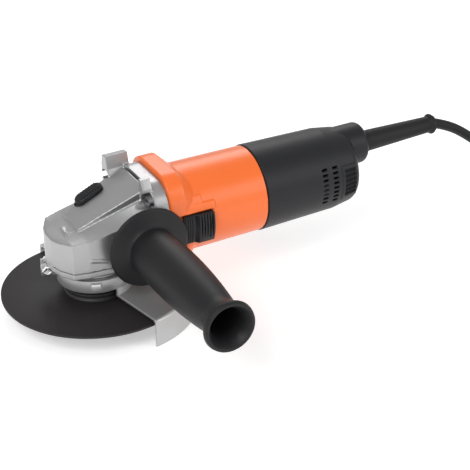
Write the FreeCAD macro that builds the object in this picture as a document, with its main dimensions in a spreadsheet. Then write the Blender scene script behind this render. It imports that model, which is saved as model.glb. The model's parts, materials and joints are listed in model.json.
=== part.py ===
import FreeCAD, Part
import math
import os
import re

import Sketcher
from FreeCAD import Vector

# An angle grinder for 125 mm discs. Millimetres. +X runs back along the motor axis to the cord,
# +Z is up along the spindle axis and the side handle points to -Y. The row's origin is the centre
# of the spindle's free end. Most pieces are drawn about the point where the two axes cross, which
# lies axis_height above the origin, so their heights are negative below the motor axis.

SIZES = {
    # overall
    "axis_height": 56.0,
    "running_gap": 0.05,
    "body_gap": 0.3,
    # gear case
    "case_front": 23.5,
    "case_knee": 13.0,
    "case_rear": 33.0,
    "case_base": 17.0,
    "nose_half": 22.0,
    "knee_half": 24.7,
    "tail_half": 28.0,
    "nose_band": 4.6,
    "knee_band": 5.8,
    "tail_band": 14.0,
    "nose_tip": 31.0,
    "nose_tip_half": 5.0,
    "nose_tip_band": 3.0,
    "nose_bow": 29.0,
    "nose_bow_half": 12.5,
    "nose_bow_band": 3.5,
    "nose_ridge_half": 11.0,
    "knee_ridge_half": 12.0,
    "tail_ridge_half": 19.0,
    "knee_ridge": 7.6,
    "tail_ridge": 23.5,
    "pad_front": 14.5,
    "pad_rear": 31.5,
    "pad_nose": 8.8,
    "pad_tail": 28.6,
    "pad_nose_half": 11.5,
    "pad_tail_half": 17.0,
    "pad_far_half": 19.5,
    "pad_crown": 90.0,
    "flange_thick": 10.0,
    "flange_half": 28.6,
    "flange_top": 31.5,
    "flange_corner": 17.0,
    "flange_low_corner": 11.0,
    "lug_front": 21.0,
    "lug_rear": 37.0,
    "lug_top": 38.0,
    "ridge_front": 28.0,
    "ridge_rear": 34.5,
    "ridge_top": 36.0,
    "head_room_front": 20.0,
    "head_room_radius": 5.2,
    "gear_room_gap": 1.3,
    "gear_room_top": 2.6,
    "pinion_room_radius": 9.5,
    "pinion_room_front": 9.0,
    # bearing cover and neck
    "cover_thick": 4.0,
    "cover_rear": 27.5,
    "neck_radius": 23.0,
    "neck_bottom": 34.0,
    "neck_bore": 9.5,
    "seal_seat_radius": 13.0,
    "seal_seat_depth": 31.0,
    # bearings
    "spindle_bearing_outer": 16.0,
    "spindle_bearing_bore": 6.0,
    "spindle_bearing_width": 10.0,
    "spindle_bearing_top": 17.5,
    "front_bearing_outer": 13.0,
    "front_bearing_bore": 4.5,
    "front_bearing_width": 8.0,
    "front_bearing_start": 25.0,
    "rear_bearing_outer": 11.0,
    "rear_bearing_bore": 3.5,
    "rear_bearing_width": 7.0,
    "rear_bearing_start": 137.0,
    "rear_sleeve_wall": 1.4,
    "needle_outer": 6.0,
    "needle_bore": 4.0,
    "needle_bottom": 3.6,
    "needle_top": 9.6,
    # spindle and what it carries
    "nose_radius": 7.0,
    "nose_start": 29.0,
    "free_end": 3.6,
    "end_groove": 0.6,
    "collar_radius": 8.5,
    "inner_flange_top": 34.6,
    "inner_flange_radius": 21.2,
    "disc_radius": 62.5,
    "disc_bore": 11.11,
    "disc_top": 43.2,
    "disc_thick": 1.6,
    "lock_nut_radius": 20.0,
    "lock_nut_height": 7.0,
    # bevel gears, sized at the large end
    "gear_pitch_radius": 19.5,
    "gear_teeth": 38,
    "pinion_teeth": 12,
    "tooth_inner": 13.0,
    "tooth_tip": 0.95,
    "tooth_root": 1.25,
    "tooth_tip_half": 0.36,
    "tooth_root_half": 1.02,
    "web_top": 9.0,
    "web_bottom": 14.0,
    # spindle lock
    "lock_pin_radius": 1.6,
    "lock_pin_forward": 2.0,
    "lock_pin_side": 10.6,
    "lock_hole_radius": 2.3,
    "button_forward": 4.0,
    "button_side": 12.2,
    "button_half_long": 9.6,
    "button_half_wide": 4.9,
    "button_base": 15.0,
    "button_low": 17.0,
    "button_top": 25.4,
    "button_floor": 10.6,
    "lock_spring_wire": 0.25,
    "lock_room_depth": 2.4,
    "lock_seat_depth": 3.6,
    # motor housing
    "housing_front_radius": 30.0,
    "housing_rear_radius": 29.1,
    "housing_bore": 27.2,
    "seam": 114.8,
    "collar_half": 29.4,
    "collar_top": 35.0,
    "collar_end": 54.0,
    "collar_fade": 65.0,
    "case_screw_side": 22.6,
    "carrier_end": 147.0,
    "carrier_front_radius": 26.0,
    "carrier_rear_radius": 25.0,
    "carrier_bore": 23.2,
    # rotor
    "core_start": 66.0,
    "core_end": 104.0,
    "core_radius": 16.0,
    "fan_start": 46.0,
    "fan_end": 56.0,
    "fan_radius": 25.0,
    "commutator_start": 118.0,
    "commutator_end": 131.0,
    "commutator_radius": 10.5,
    # stator
    "field_radius": 26.7,
    "field_bore": 17.0,
    "field_flat": 23.4,
    # brushes
    "brush_centre": 124.5,
    "brush_long": 5.6,
    "brush_wide": 4.6,
    "brush_top": 17.2,
    "brush_cap": 21.6,
    "brush_box_wall": 1.2,
    "brush_play": 0.3,
    "brush_spring_wire": 0.25,
    # rear housing and cord entry
    "rear_front_radius": 29.6,
    "rear_mid_radius": 28.2,
    "rear_mid": 170.0,
    "rear_end": 188.5,
    "rear_wall": 2.6,
    "rear_bore": 26.5,
    "barrel_radius": 14.2,
    "barrel_height": 12.6,
    "barrel_end": 202.0,
    "barrel_start": 150.0,
    "relief_height": 11.8,
    "relief_root": 7.6,
    "relief_tip": 5.7,
    "relief_end": 260.5,
    "relief_bead": 6.9,
    "cord_radius": 3.5,
    "clamp_long": 7.0,
    "clamp_screw_side": 6.6,
    "vent_start": 157.0,
    "vent_long": 4.0,
    "vent_slot": 1.6,
    "vent_rise": 10.6,
    # slide switch
    "slide_front": 52.0,
    "slide_back": 73.0,
    "slide_low": 13.0,
    "slide_high": 8.0,
    "slide_floor": 27.5,
    "slide_outer": 33.2,
    "slide_dip": 30.8,
    "slide_rise": 60.0,
    "slide_travel": 6.0,
    "rod_outer": 25.7,
    "rod_thick": 1.7,
    "rod_half": 2.4,
    "rod_height": 2.2,
    "rod_end": 152.0,
    # side handle
    "handle_forward": 24.3,
    "handle_drop": 3.4,
    "socket_face": 30.2,
    "socket_radius": 3.4,
    "socket_boss": 10.5,
    "socket_depth": 12.0,
    "hand_guard_radius": 27.4,
    "hand_guard_near": 34.0,
    "grip_root_radius": 15.8,
    "grip_waist_radius": 12.9,
    "grip_end": 148.0,
    "grip_flare_radius": 17.3,
    "grip_hollow_radius": 11.0,
    "grip_hollow_depth": 32.0,
    "stud_radius": 4.0,
    # disc guard
    "band_thick": 2.0,
    "band_top": 25.0,
    "band_bottom": 33.6,
    "guard_radius": 66.5,
    "guard_sheet": 1.6,
    "guard_top": 38.6,
    "guard_bottom": 58.5,
    "guard_start": -79.0,
    "guard_sweep": 180.0,
    "clamp_angle": 158.0,
    "ear_reach": 35.0,
    "ear_gap": 5.0,
    "ear_top": 21.5,
    "ear_bottom": 29.5,
    "clamp_screw_height": 25.2,
    "clamp_head_radius": 3.6,
    "index_slot_long": 6.6,
    "index_slot_high": 1.6,
    "index_slot_height": 28.0,
    "clamp_screw_radius": 2.5,
    # cord put away beside the tool
    "coil_along": 350.0,
    "coil_side": -80.0,
    "coil_middle": 42.0,
    "coil_half_wide": 14.4,
    "coil_height": 14.2,
    "tie_angle": 200.0,
    "tie_wide": 9.0,
    "tie_thick": 1.2,
    "plug_long": 44.0,
    "plug_half_wide": 18.5,
    "plug_half_high": 8.5,
    "plug_pin_radius": 2.4,
    "plug_pin_length": 19.0,
    "plug_pin_spacing": 19.0,
    "plug_pin_step": 0.4,
}

doc = FreeCAD.newDocument("grinder")
sheet = doc.addObject("Spreadsheet::Sheet", "Sizes")
for row, (alias, number) in enumerate(SIZES.items(), start=1):
    sheet.set(f"A{row}", alias)
    sheet.set(f"B{row}", str(number))
    sheet.setAlias(f"B{row}", alias)
doc.recompute()

pieces = []


def formula(text):
    """A formula in the sheet's words, with the sheet named before each word."""
    return re.sub(r"[a-z][a-z_]+", lambda word: ("Sizes." if word[0] in SIZES else "") + word[0], str(text))


def size(text):
    """The present value of a formula."""
    return float(sheet.evalExpression(formula(text)))


def tie(thing, field, text):
    thing.setExpression(field, formula(text))


# ---------------------------------------------------------------- shared builders


def new_body(name, at=("0", "0", "axis_height"), turn=None):
    """A body for one sub-part; at is its place and turn an axis with a formula for the angle."""
    body = doc.addObject("PartDesign::Body", name)
    body.Label = name
    pieces.append(body)
    if turn:
        axis, angle = turn
        body.Placement = FreeCAD.Placement(Vector(), FreeCAD.Rotation(Vector(*axis), size(angle)))
        tie(body, "Placement.Rotation.Angle", f"({angle}) * 1")
    for letter, text in zip("xyz", at):
        tie(body, f"Placement.Base.{letter}", text)
    return body


def new_sketch(body, plane, offset="0"):
    sketch = body.newObject("Sketcher::SketchObject", body.Label + "_sketch")
    support = [item for item in body.Origin.OriginFeatures if item.Role == plane + "_Plane"][0]
    sketch.AttachmentSupport = [(support, "")]
    sketch.MapMode = "FlatFace"
    tie(sketch, "AttachmentOffset.Base.z", offset)
    return sketch


def pin_down(sketch, edge, end, across, up):
    """Hold one end of an edge at a place given by two formulas."""
    for kind, text in (("DistanceX", across), ("DistanceY", up)):
        number = sketch.addConstraint(Sketcher.Constraint(kind, -1, 1, edge, end, size(text)))
        tie(sketch, f"Constraints[{number}]", text)


def bulge_point(start, end, radius):
    """A point on the arc from start to end; a positive radius bulges to the right of the way."""
    chord = end - start
    middle = (start + end) / 2
    away = Vector(chord.y, -chord.x, 0).normalize()
    reach = abs(radius)
    rise = reach - math.sqrt(reach * reach - chord.Length ** 2 / 4)
    return middle + away * math.copysign(rise, radius)


def outline(sketch, corners, arcs=None):
    """A closed outline through corners given as formulas; arcs maps an edge to its radius."""
    arcs = arcs or {}
    first = sketch.GeometryCount
    count = len(corners)
    places = [Vector(size(across), size(up), 0) for across, up in corners]
    ends = []
    for index, start in enumerate(places):
        end = places[(index + 1) % count]
        if index in arcs:
            radius = size(arcs[index])
            way = (start, end) if radius > 0 else (end, start)
            sketch.addGeometry(Part.Arc(way[0], bulge_point(start, end, radius), way[1]))
            ends.append((1, 2) if radius > 0 else (2, 1))
        else:
            sketch.addGeometry(Part.LineSegment(start, end))
            ends.append((1, 2))
    for index in range(count):
        following = (index + 1) % count
        sketch.addConstraint(Sketcher.Constraint(
            "Coincident", first + index, ends[index][1], first + following, ends[following][0]))
    for index, (across, up) in enumerate(corners):
        pin_down(sketch, first + index, ends[index][0], across, up)
    for index, text in arcs.items():
        number = sketch.addConstraint(Sketcher.Constraint("Radius", first + index, abs(size(text))))
        tie(sketch, f"Constraints[{number}]", f"abs({text})")
    return sketch


def circle(sketch, across, up, radius):
    index = sketch.GeometryCount
    place = Vector(size(across), size(up), 0)
    sketch.addGeometry(Part.Circle(place, Vector(0, 0, 1), size(radius)))
    pin_down(sketch, index, 3, across, up)
    number = sketch.addConstraint(Sketcher.Constraint("Radius", index, size(radius)))
    tie(sketch, f"Constraints[{number}]", radius)
    return sketch


def box_outline(sketch, low_across, low_up, high_across, high_up):
    return outline(sketch, [(low_across, low_up), (high_across, low_up),
                            (high_across, high_up), (low_across, high_up)])


def extrude(body, kind, sketch, length, back=False, middle=False):
    feature = body.newObject("PartDesign::" + kind, f"{body.Label}_{kind.lower()}")
    feature.Profile = sketch
    tie(feature, "Length", length)
    feature.Reversed = back
    if middle:
        feature.SideType = "Symmetric"
    return feature


def pad(body, sketch, length, back=False, middle=False):
    return extrude(body, "Pad", sketch, length, back, middle)


def pocket(body, sketch, length, back=False, middle=False):
    return extrude(body, "Pocket", sketch, length, back, middle)


def turned(body, kind, corners, axis, arcs=None, angle="360"):
    """Revolve an outline. About X the outline is (x, radius), about Z it is (radius, z)."""
    sketch = outline(new_sketch(body, "XZ"), corners, arcs)
    feature = body.newObject("PartDesign::" + kind, f"{body.Label}_{kind.lower()}")
    feature.Profile = sketch
    feature.ReferenceAxis = (sketch, ["H_Axis" if axis == "X" else "V_Axis"])
    tie(feature, "Angle", angle)
    return feature


def revolve(body, corners, axis, arcs=None, angle="360"):
    return turned(body, "Revolution", corners, axis, arcs, angle)


def groove(body, corners, axis, arcs=None):
    return turned(body, "Groove", corners, axis, arcs)


def loft(body, sketches, cut=False):
    kind = "SubtractiveLoft" if cut else "AdditiveLoft"
    feature = body.newObject("PartDesign::" + kind, f"{body.Label}_loft")
    feature.Profile = sketches[0]
    feature.Sections = sketches[1:]
    feature.Ruled = True
    return feature


def repeat_round(body, feature, count, axis):
    pattern = body.newObject("PartDesign::PolarPattern", body.Label + "_round")
    pattern.Originals = [feature]
    role = [item for item in body.Origin.OriginFeatures if item.Role == axis + "_Axis"][0]
    pattern.Axis = (role, [""])
    pattern.Angle = 360
    tie(pattern, "Occurrences", count)
    body.Tip = pattern
    return pattern


def repeat_along(body, feature, count, length, axis):
    pattern = body.newObject("PartDesign::LinearPattern", body.Label + "_row")
    pattern.Originals = [feature]
    role = [item for item in body.Origin.OriginFeatures if item.Role == axis + "_Axis"][0]
    pattern.Direction = (role, [""])
    tie(pattern, "Length", length)
    tie(pattern, "Occurrences", count)
    body.Tip = pattern
    return pattern


def soften(body, radius, wanted, kind="Fillet"):
    """Round or chamfer every edge of the finished body that wanted(edge) picks."""
    doc.recompute()
    last = body.Tip
    names = [f"Edge{number}" for number, edge in enumerate(last.Shape.Edges, start=1) if wanted(edge)]
    feature = body.newObject("PartDesign::" + kind, f"{body.Label}_{kind.lower()}")
    feature.Base = (last, names)
    tie(feature, "Radius" if kind == "Fillet" else "Size", radius)
    return feature


def keep(item, name):
    item.Label = name
    pieces.append(item)
    return item


# ---------------------------------------------------------------- gear case


def case_section(body, place, half, band, ridge_half, ridge):
    """One cross-section of the cast case: upright band, sloping shoulder, flat ridge."""
    sketch = new_sketch(body, "YZ", place)
    return outline(sketch, [(f"-({half})", "-case_base"), (half, "-case_base"), (half, band),
                            (ridge_half, ridge), (f"-({ridge_half})", ridge), (f"-({half})", band)])


def pad_section(body, place, near_half, far_half, top):
    """One cross-section of the raised, crowned pad on top of the case."""
    sketch = new_sketch(body, "YZ", place)
    return outline(sketch, [(f"-({near_half})", "0"), (far_half, "0"), (far_half, top),
                            (f"-({near_half})", top)], {2: "pad_crown"})


def rounded_square(sketch, half, top, corner, low_corner):
    """A square outline with rounded corners, as the case flange and the housing collar have."""
    inner = f"({half} - {corner})"
    low_inner = f"({half} - {low_corner})"
    high = f"({top} - {corner})"
    low_arc = f"{low_corner} * 1.0001"
    high_arc = f"{corner} * 1.0001"
    return outline(sketch, [
        (f"-{low_inner}", f"-({half})"), (low_inner, f"-({half})"), (half, f"-{low_inner}"),
        (half, high), (inner, top), (f"-{inner}", top), (f"-({half})", high),
        (f"-({half})", f"-{low_inner}")], {1: low_arc, 3: high_arc, 5: high_arc, 7: low_arc})


def gear_case():
    body = new_body("gear_case")
    loft(body, [
        case_section(body, "-nose_tip", "nose_tip_half", "nose_tip_band", "nose_tip_half - 2",
                     "nose_tip_band + 0.3"),
        case_section(body, "-nose_bow", "nose_bow_half", "nose_bow_band", "nose_bow_half - 5",
                     "nose_bow_band + 0.3"),
        case_section(body, "-case_front", "nose_half", "nose_band", "nose_ridge_half", "nose_band + 0.4"),
        case_section(body, "-case_knee", "knee_half", "knee_band", "knee_ridge_half", "knee_ridge"),
        case_section(body, "case_rear", "tail_half", "tail_band", "tail_ridge_half", "tail_ridge")])
    loft(body, [
        pad_section(body, "-pad_front", "pad_nose_half", "pad_nose_half", "pad_nose"),
        pad_section(body, "0", "pad_nose_half + 1.5", "pad_far_half",
                    "pad_nose + (pad_tail - pad_nose) * pad_front / (pad_front + pad_rear)"),
        pad_section(body, "pad_rear", "pad_tail_half", "pad_far_half", "pad_tail")])
    flange = rounded_square(new_sketch(body, "YZ", "case_rear"), "flange_half", "flange_top",
                            "flange_corner", "flange_low_corner")
    pad(body, flange, "flange_thick")
    lug = outline(new_sketch(body, "YZ", "lug_front"), [
        ("15", "tail_band"), ("tail_half - 0.6", "tail_band"), ("tail_half", "lug_top - 8"),
        ("tail_half - 1.5", "lug_top - 1"), ("tail_half - 7", "lug_top"),
        ("tail_half - 9", "lug_top - 9"), ("15", "lug_top - 15")])
    pad(body, lug, "lug_rear - lug_front")
    ridge = outline(new_sketch(body, "YZ", "ridge_front"), [
        ("-15", "20"), ("-15", "ridge_top"), ("-18", "ridge_top"), ("-21.5", "ridge_top - 5.5"),
        ("-21.5", "ridge_top - 9"), ("-19", "ridge_top - 9.5"), ("-18", "20")])
    pad(body, ridge, "ridge_rear - ridge_front")
    for side in (-1, 1):
        boss = circle(new_sketch(body, "XZ", f"{side} * 18"), "handle_forward", "-handle_drop",
                      "socket_boss")
        pad(body, boss, "socket_face - 18", back=side < 0)
    pocket(body, circle(new_sketch(body, "XY", "-case_base"), "0", "0", "gear_pitch_radius + gear_room_gap"),
           "case_base - gear_room_top", back=True)
    pocket(body, circle(new_sketch(body, "XY", "-gear_room_top - 0.1"), "0", "0", "needle_outer + 2.8"),
           "gear_room_top + needle_bottom + 0.1", back=True)
    pocket(body, circle(new_sketch(body, "XY", "0"), "0", "0", "needle_outer"), "needle_top", back=True)
    groove(body, [
        ("pinion_room_front", "0"), ("pinion_room_front", "pinion_room_radius"),
        ("front_bearing_start", "pinion_room_radius"), ("front_bearing_start", "front_bearing_outer"),
        ("front_bearing_start + front_bearing_width", "front_bearing_outer"),
        ("front_bearing_start + front_bearing_width", "front_bearing_outer + 9"),
        ("case_rear + flange_thick + 1", "front_bearing_outer + 9"),
        ("case_rear + flange_thick + 1", "0")], "X")
    for side in (-1, 1):
        socket = circle(new_sketch(body, "XZ", f"{side} * (socket_face + 1)"), "handle_forward",
                        "-handle_drop", "socket_radius")
        pocket(body, socket, "socket_depth + 1", back=side < 0)
        across = f"{side} * case_screw_side"
        for height in (-1, 1):
            up = f"{height} * case_screw_side"
            hole = circle(new_sketch(body, "YZ", "case_rear - 0.5"), across, up, "2.1")
            pocket(body, hole, "flange_thick + 1", back=True)
        room = circle(new_sketch(body, "YZ", "head_room_front"), across, "case_screw_side",
                      "head_room_radius")
        pocket(body, room, "case_rear - head_room_front", back=True)
    pocket(body, circle(new_sketch(body, "XY", "-gear_room_top - 1"), "lock_pin_forward",
                        "lock_pin_side", "lock_pin_radius + body_gap"), "button_floor + gear_room_top + 2",
           back=True)
    pocket(body, pill(new_sketch(body, "XY", "button_floor"), "body_gap"), "20", back=True)
    for across, up in cover_screw_places():
        hole = circle(new_sketch(body, "XY", "-case_base"), across, up, "1.6")
        pocket(body, hole, "10", back=True)
    return body


def pill(sketch, grow="0"):
    """The rounded oblong outline of the lock button, larger all round by grow."""
    half = f"(button_half_wide + {grow})"
    reach = "(button_half_long - button_half_wide)"
    low = f"button_side - {half}"
    high = f"button_side + {half}"
    left = f"button_forward - {reach}"
    right = f"button_forward + {reach}"
    return outline(sketch, [(left, low), (right, low), (right, high), (left, high)],
                   {1: f"{half} * 1.0001", 3: f"{half} * 1.0001"})


def cover_screw_places():
    return [("-case_front + 4.6", "-nose_half + 4.6"), ("-case_front + 4.6", "nose_half - 4.6"),
            ("case_rear - 12", "-tail_half + 7"), ("case_rear - 12", "tail_half - 7")]


def bearing_cover():
    body = new_body("bearing_cover")
    edge = [("-nose_tip", "nose_tip_half"), ("-nose_bow", "nose_bow_half"), ("-case_front", "nose_half"),
            ("-case_knee", "knee_half"), ("cover_rear", "tail_half - 0.4")]
    near_edge = [(along, f"-({across})") for along, across in edge]
    plan = outline(new_sketch(body, "XY", "-case_base - cover_thick"), near_edge + edge[::-1])
    pad(body, plan, "cover_thick")
    pad(body, circle(new_sketch(body, "XY", "-neck_bottom"), "0", "0", "neck_radius"),
        "neck_bottom - case_base - cover_thick + 1")
    groove(body, [
        ("0", "-case_base + 1"), ("spindle_bearing_outer", "-case_base + 1"),
        ("spindle_bearing_outer", "-spindle_bearing_top - spindle_bearing_width"),
        ("seal_seat_radius", "-spindle_bearing_top - spindle_bearing_width"),
        ("seal_seat_radius", "-seal_seat_depth"), ("neck_bore", "-seal_seat_depth"),
        ("neck_bore", "-neck_bottom - 1"), ("0", "-neck_bottom - 1")], "Z")
    groove(body, [("neck_radius - 1.2", "-band_top + 2.6"), ("neck_radius + 2", "-band_top + 2.6"),
                  ("neck_radius + 2", "-band_top + 0.4"), ("neck_radius - 1.2", "-band_top + 0.4")], "Z")
    for across, up in cover_screw_places():
        sketch = circle(new_sketch(body, "XY", "-case_base - cover_thick - 1"), across, up, "1.9")
        pocket(body, sketch, "cover_thick + 2", back=True)
        head = circle(new_sketch(body, "XY", "-case_base - cover_thick - 1"), across, up, "3.4")
        pocket(body, head, "3.4", back=True)
    return body


def screw(body, across, up, plane, start, head_radius, head_high, shank_radius, shank_long, back=False):
    """A cross-head screw drawn from the underside of its head; back points the shank the other way."""
    sign = -1 if back else 1
    head = circle(new_sketch(body, plane, f"{start} - {sign} * {head_high}"), across, up, head_radius)
    pad(body, head, head_high, back=back)
    pad(body, circle(new_sketch(body, plane, start), across, up, shank_radius), shank_long, back=back)
    for long, wide in ((1.1, 0.22), (0.22, 1.1)):
        cross = box_outline(new_sketch(body, plane, f"{start} - {sign} * {head_high}"),
                            f"{across} - {head_radius} * {long} / 2", f"{up} - {head_radius} * {wide} / 2",
                            f"{across} + {head_radius} * {long} / 2", f"{up} + {head_radius} * {wide} / 2")
        pocket(body, cross, f"{head_high} * 0.6", back=not back)


def screw_group(name, places, at=("0", "0", "axis_height"), **shape):
    """Identical screws as separate solids of one node."""
    group = doc.addObject("Part::Compound", name)
    links = []
    for number, (across, up) in enumerate(places, start=1):
        body = doc.addObject("PartDesign::Body", f"{name}_{number}")
        screw(body, across, up, **shape)
        links.append(body)
    group.Links = links
    for letter, text in zip("xyz", at):
        tie(group, f"Placement.Base.{letter}", text)
    return keep(group, name)


def case_fasteners():
    screw_group("cover_screws", cover_screw_places(), plane="XY",
                start="-(case_base + cover_thick - 2.4)", head_radius="3.1", head_high="2.2",
                shank_radius="1.5", shank_long="8")
    corners = [(f"{side} * case_screw_side", f"{height} * case_screw_side")
               for side in (-1, 1) for height in (-1, 1)]
    screw_group("case_screws", corners, plane="YZ", start="case_rear", head_radius="3.8",
                head_high="3.2", shank_radius="2", shank_long="flange_thick + 14")


# ---------------------------------------------------------------- bearings and seal


def ball_bearing(name, axis, start, width, bore, outer):
    """A shielded ball bearing as one ring, with the shields set back from both faces."""
    body = new_body(name)
    wall = f"(({outer} - {bore}) * 0.28)"
    back = f"({start} + {width})"
    corners = [
        (start, bore), (back, bore), (back, f"{bore} + {wall}"), (f"{back} - 0.5", f"{bore} + {wall}"),
        (f"{back} - 0.5", f"{outer} - {wall}"), (back, f"{outer} - {wall}"), (back, outer), (start, outer),
        (start, f"{outer} - {wall}"), (f"{start} + 0.5", f"{outer} - {wall}"),
        (f"{start} + 0.5", f"{bore} + {wall}"), (start, f"{bore} + {wall}")]
    if axis == "Z":
        corners = [(radius, along) for along, radius in corners]
    revolve(body, corners, axis)
    return body


def bearings():
    ball_bearing("spindle_bearing", "Z", "(-spindle_bearing_top - spindle_bearing_width)",
                 "spindle_bearing_width", "(spindle_bearing_bore + running_gap)", "spindle_bearing_outer")
    ball_bearing("front_bearing", "X", "front_bearing_start", "front_bearing_width",
                 "(front_bearing_bore + running_gap)", "front_bearing_outer")
    ball_bearing("rear_bearing", "X", "rear_bearing_start", "rear_bearing_width",
                 "(rear_bearing_bore + running_gap)", "rear_bearing_outer")
    needle = new_body("needle_bearing")
    revolve(needle, [("needle_bore + running_gap", "needle_bottom"), ("needle_outer", "needle_bottom"),
                     ("needle_outer", "needle_top - 0.4"),
                     ("needle_bore + running_gap", "needle_top - 0.4")], "Z")
    seal = new_body("dust_seal")
    revolve(seal, [("nose_radius + body_gap", "-seal_seat_depth"), ("seal_seat_radius", "-seal_seat_depth"),
                   ("seal_seat_radius", "-nose_start - body_gap"),
                   ("nose_radius + body_gap", "-nose_start - body_gap")], "Z")
    sleeve = new_body("rear_bearing_sleeve")
    revolve(sleeve, [("rear_bearing_start", "rear_bearing_outer"),
                     ("rear_bearing_start", "rear_bearing_outer + rear_sleeve_wall"),
                     ("rear_bearing_start + rear_bearing_width", "rear_bearing_outer + rear_sleeve_wall"),
                     ("rear_bearing_start + rear_bearing_width", "rear_bearing_outer")], "X")


# ---------------------------------------------------------------- spindle, gears and disc


def spindle():
    body = new_body("spindle")
    revolve(body, [
        ("0", "needle_top - 1"), ("needle_bore - 0.4", "needle_top - 1"), ("needle_bore", "needle_top - 1.4"),
        ("needle_bore", "-web_top + 3"), ("spindle_bearing_bore", "-web_top + 2.5"),
        ("spindle_bearing_bore", "-spindle_bearing_top - spindle_bearing_width - running_gap"),
        ("collar_radius", "-spindle_bearing_top - spindle_bearing_width - running_gap"),
        ("collar_radius", "-nose_start"), ("nose_radius", "-nose_start"),
        ("nose_radius", "-axis_height + free_end + end_groove"),
        ("nose_radius - 0.6", "-axis_height + free_end + end_groove"),
        ("nose_radius - 0.6", "-axis_height + free_end"), ("nose_radius", "-axis_height + free_end"),
        ("nose_radius", "-axis_height"), ("0", "-axis_height")], "Z")
    return body


PINION_PITCH = "(gear_pitch_radius * pinion_teeth / gear_teeth)"


def tooth_section(body, place, tip_away):
    """A tooth's outline at one distance from the cones' shared tip; it shrinks towards that tip."""
    share = f"({place} / gear_pitch_radius)"
    sketch = new_sketch(body, "YZ", place)
    tip = f"-({PINION_PITCH} + {tip_away} * tooth_tip) * {share}"
    root = f"-({PINION_PITCH} - {tip_away} * (tooth_root + 0.3)) * {share}"
    return outline(sketch, [(f"-tooth_root_half * {share}", root), (f"tooth_root_half * {share}", root),
                            (f"tooth_tip_half * {share}", tip), (f"-tooth_tip_half * {share}", tip)])


def crown_gear():
    body = new_body("crown_gear")
    slope = f"(({PINION_PITCH} + tooth_root) / gear_pitch_radius)"
    revolve(body, [
        ("spindle_bearing_bore", "-web_top + 2.4"), ("8.2", "-web_top + 2.4"), ("8.2", "-web_top"),
        ("tooth_inner - 0.2", "-web_top"), ("tooth_inner - 0.2", f"-tooth_inner * {slope}"),
        ("gear_pitch_radius + 0.4", f"-(gear_pitch_radius + 0.4) * {slope}"),
        ("gear_pitch_radius + 0.4", "-web_bottom + 2"), ("gear_pitch_radius - 2", "-web_bottom"),
        ("8.8", "-web_bottom"), ("8.8", "-spindle_bearing_top + 0.5"),
        ("spindle_bearing_bore", "-spindle_bearing_top + 0.5")], "Z")
    tooth = loft(body, [tooth_section(body, "tooth_inner", -1), tooth_section(body, "gear_pitch_radius", -1)])
    repeat_round(body, tooth, "gear_teeth", "Z")
    hole = pocket(body, circle(new_sketch(body, "XY", "-web_bottom - 1"), "lock_pin_forward",
                               "lock_pin_side", "lock_hole_radius"), "web_bottom - web_top + 2", back=True)
    repeat_round(body, hole, "6", "Z")
    return body


def pinion():
    body = new_body("pinion", turn=((1, 0, 0), "180 / pinion_teeth"))
    slope = f"(({PINION_PITCH} - tooth_root) / gear_pitch_radius)"
    revolve(body, [
        ("tooth_inner - 0.6", "2.5"), ("tooth_inner - 0.6", f"(tooth_inner - 0.6) * {slope}"),
        ("gear_pitch_radius + 0.6", f"(gear_pitch_radius + 0.6) * {slope}"),
        ("gear_pitch_radius + 2.5", "5.2"), ("front_bearing_start - 0.5", "5.2"),
        ("front_bearing_start - 0.5", "2.5")], "X")
    tooth = loft(body, [tooth_section(body, "tooth_inner", 1), tooth_section(body, "gear_pitch_radius", 1)])
    repeat_round(body, tooth, "pinion_teeth", "X")
    return body


def disc_group():
    flange = new_body("inner_flange")
    revolve(flange, [
        ("nose_radius", "-inner_flange_top"), ("inner_flange_radius - 2.2", "-inner_flange_top"),
        ("inner_flange_radius - 2.2", "-inner_flange_top - 2"),
        ("inner_flange_radius", "-inner_flange_top - 3"), ("inner_flange_radius", "-inner_flange_top - 4.6"),
        ("inner_flange_radius - 1.2", "-inner_flange_top - 5.2"),
        ("inner_flange_radius - 1.2", "-inner_flange_top - 6.4"),
        ("inner_flange_radius", "-inner_flange_top - 7"), ("inner_flange_radius", "-disc_top"),
        ("disc_bore - 0.05", "-disc_top"), ("disc_bore - 0.05", "-disc_top - disc_thick + 0.3"),
        ("nose_radius", "-disc_top - disc_thick + 0.3")], "Z")
    disc = new_body("cutting_disc")
    revolve(disc, [("disc_bore", "-disc_top"), ("disc_radius", "-disc_top"),
                   ("disc_radius", "-disc_top - disc_thick"), ("disc_bore", "-disc_top - disc_thick")], "Z")
    nut = new_body("lock_nut")
    below = "(disc_top + disc_thick)"
    revolve(nut, [
        ("nose_radius", f"-{below}"), ("lock_nut_radius", f"-{below}"),
        ("lock_nut_radius", f"-{below} - 3"), ("lock_nut_radius - 1.5", f"-{below} - 4.5"),
        ("lock_nut_radius - 5", f"-{below} - 4.5"), ("lock_nut_radius - 5.5", f"-{below} - lock_nut_height"),
        ("nose_radius", f"-{below} - lock_nut_height")], "Z")
    hole = pocket(nut, circle(new_sketch(nut, "XY", f"-{below} - lock_nut_height - 1"), "11.4", "0", "2.4"),
                  "lock_nut_height - 1.5", back=True)
    repeat_round(nut, hole, "4", "Z")


# ---------------------------------------------------------------- spindle lock


def spring_coil(name, radius, wire, low, high, turns, place):
    """A coil spring drawn as a round wire swept along a helix about an upright axis."""
    helix = Part.makeHelix((high - low - 2 * wire) / turns, high - low - 2 * wire, radius)
    start = Vector(radius, 0, 0)
    section = Part.Wire([Part.makeCircle(wire, start, Vector(0, 1, 0))])
    spring = doc.addObject("Part::Feature", name)
    spring.Shape = Part.Wire(helix).makePipeShell([section], True, True)
    spring.Placement = FreeCAD.Placement(Vector(place[0], place[1], low + wire), FreeCAD.Rotation())
    return keep(spring, name)


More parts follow.
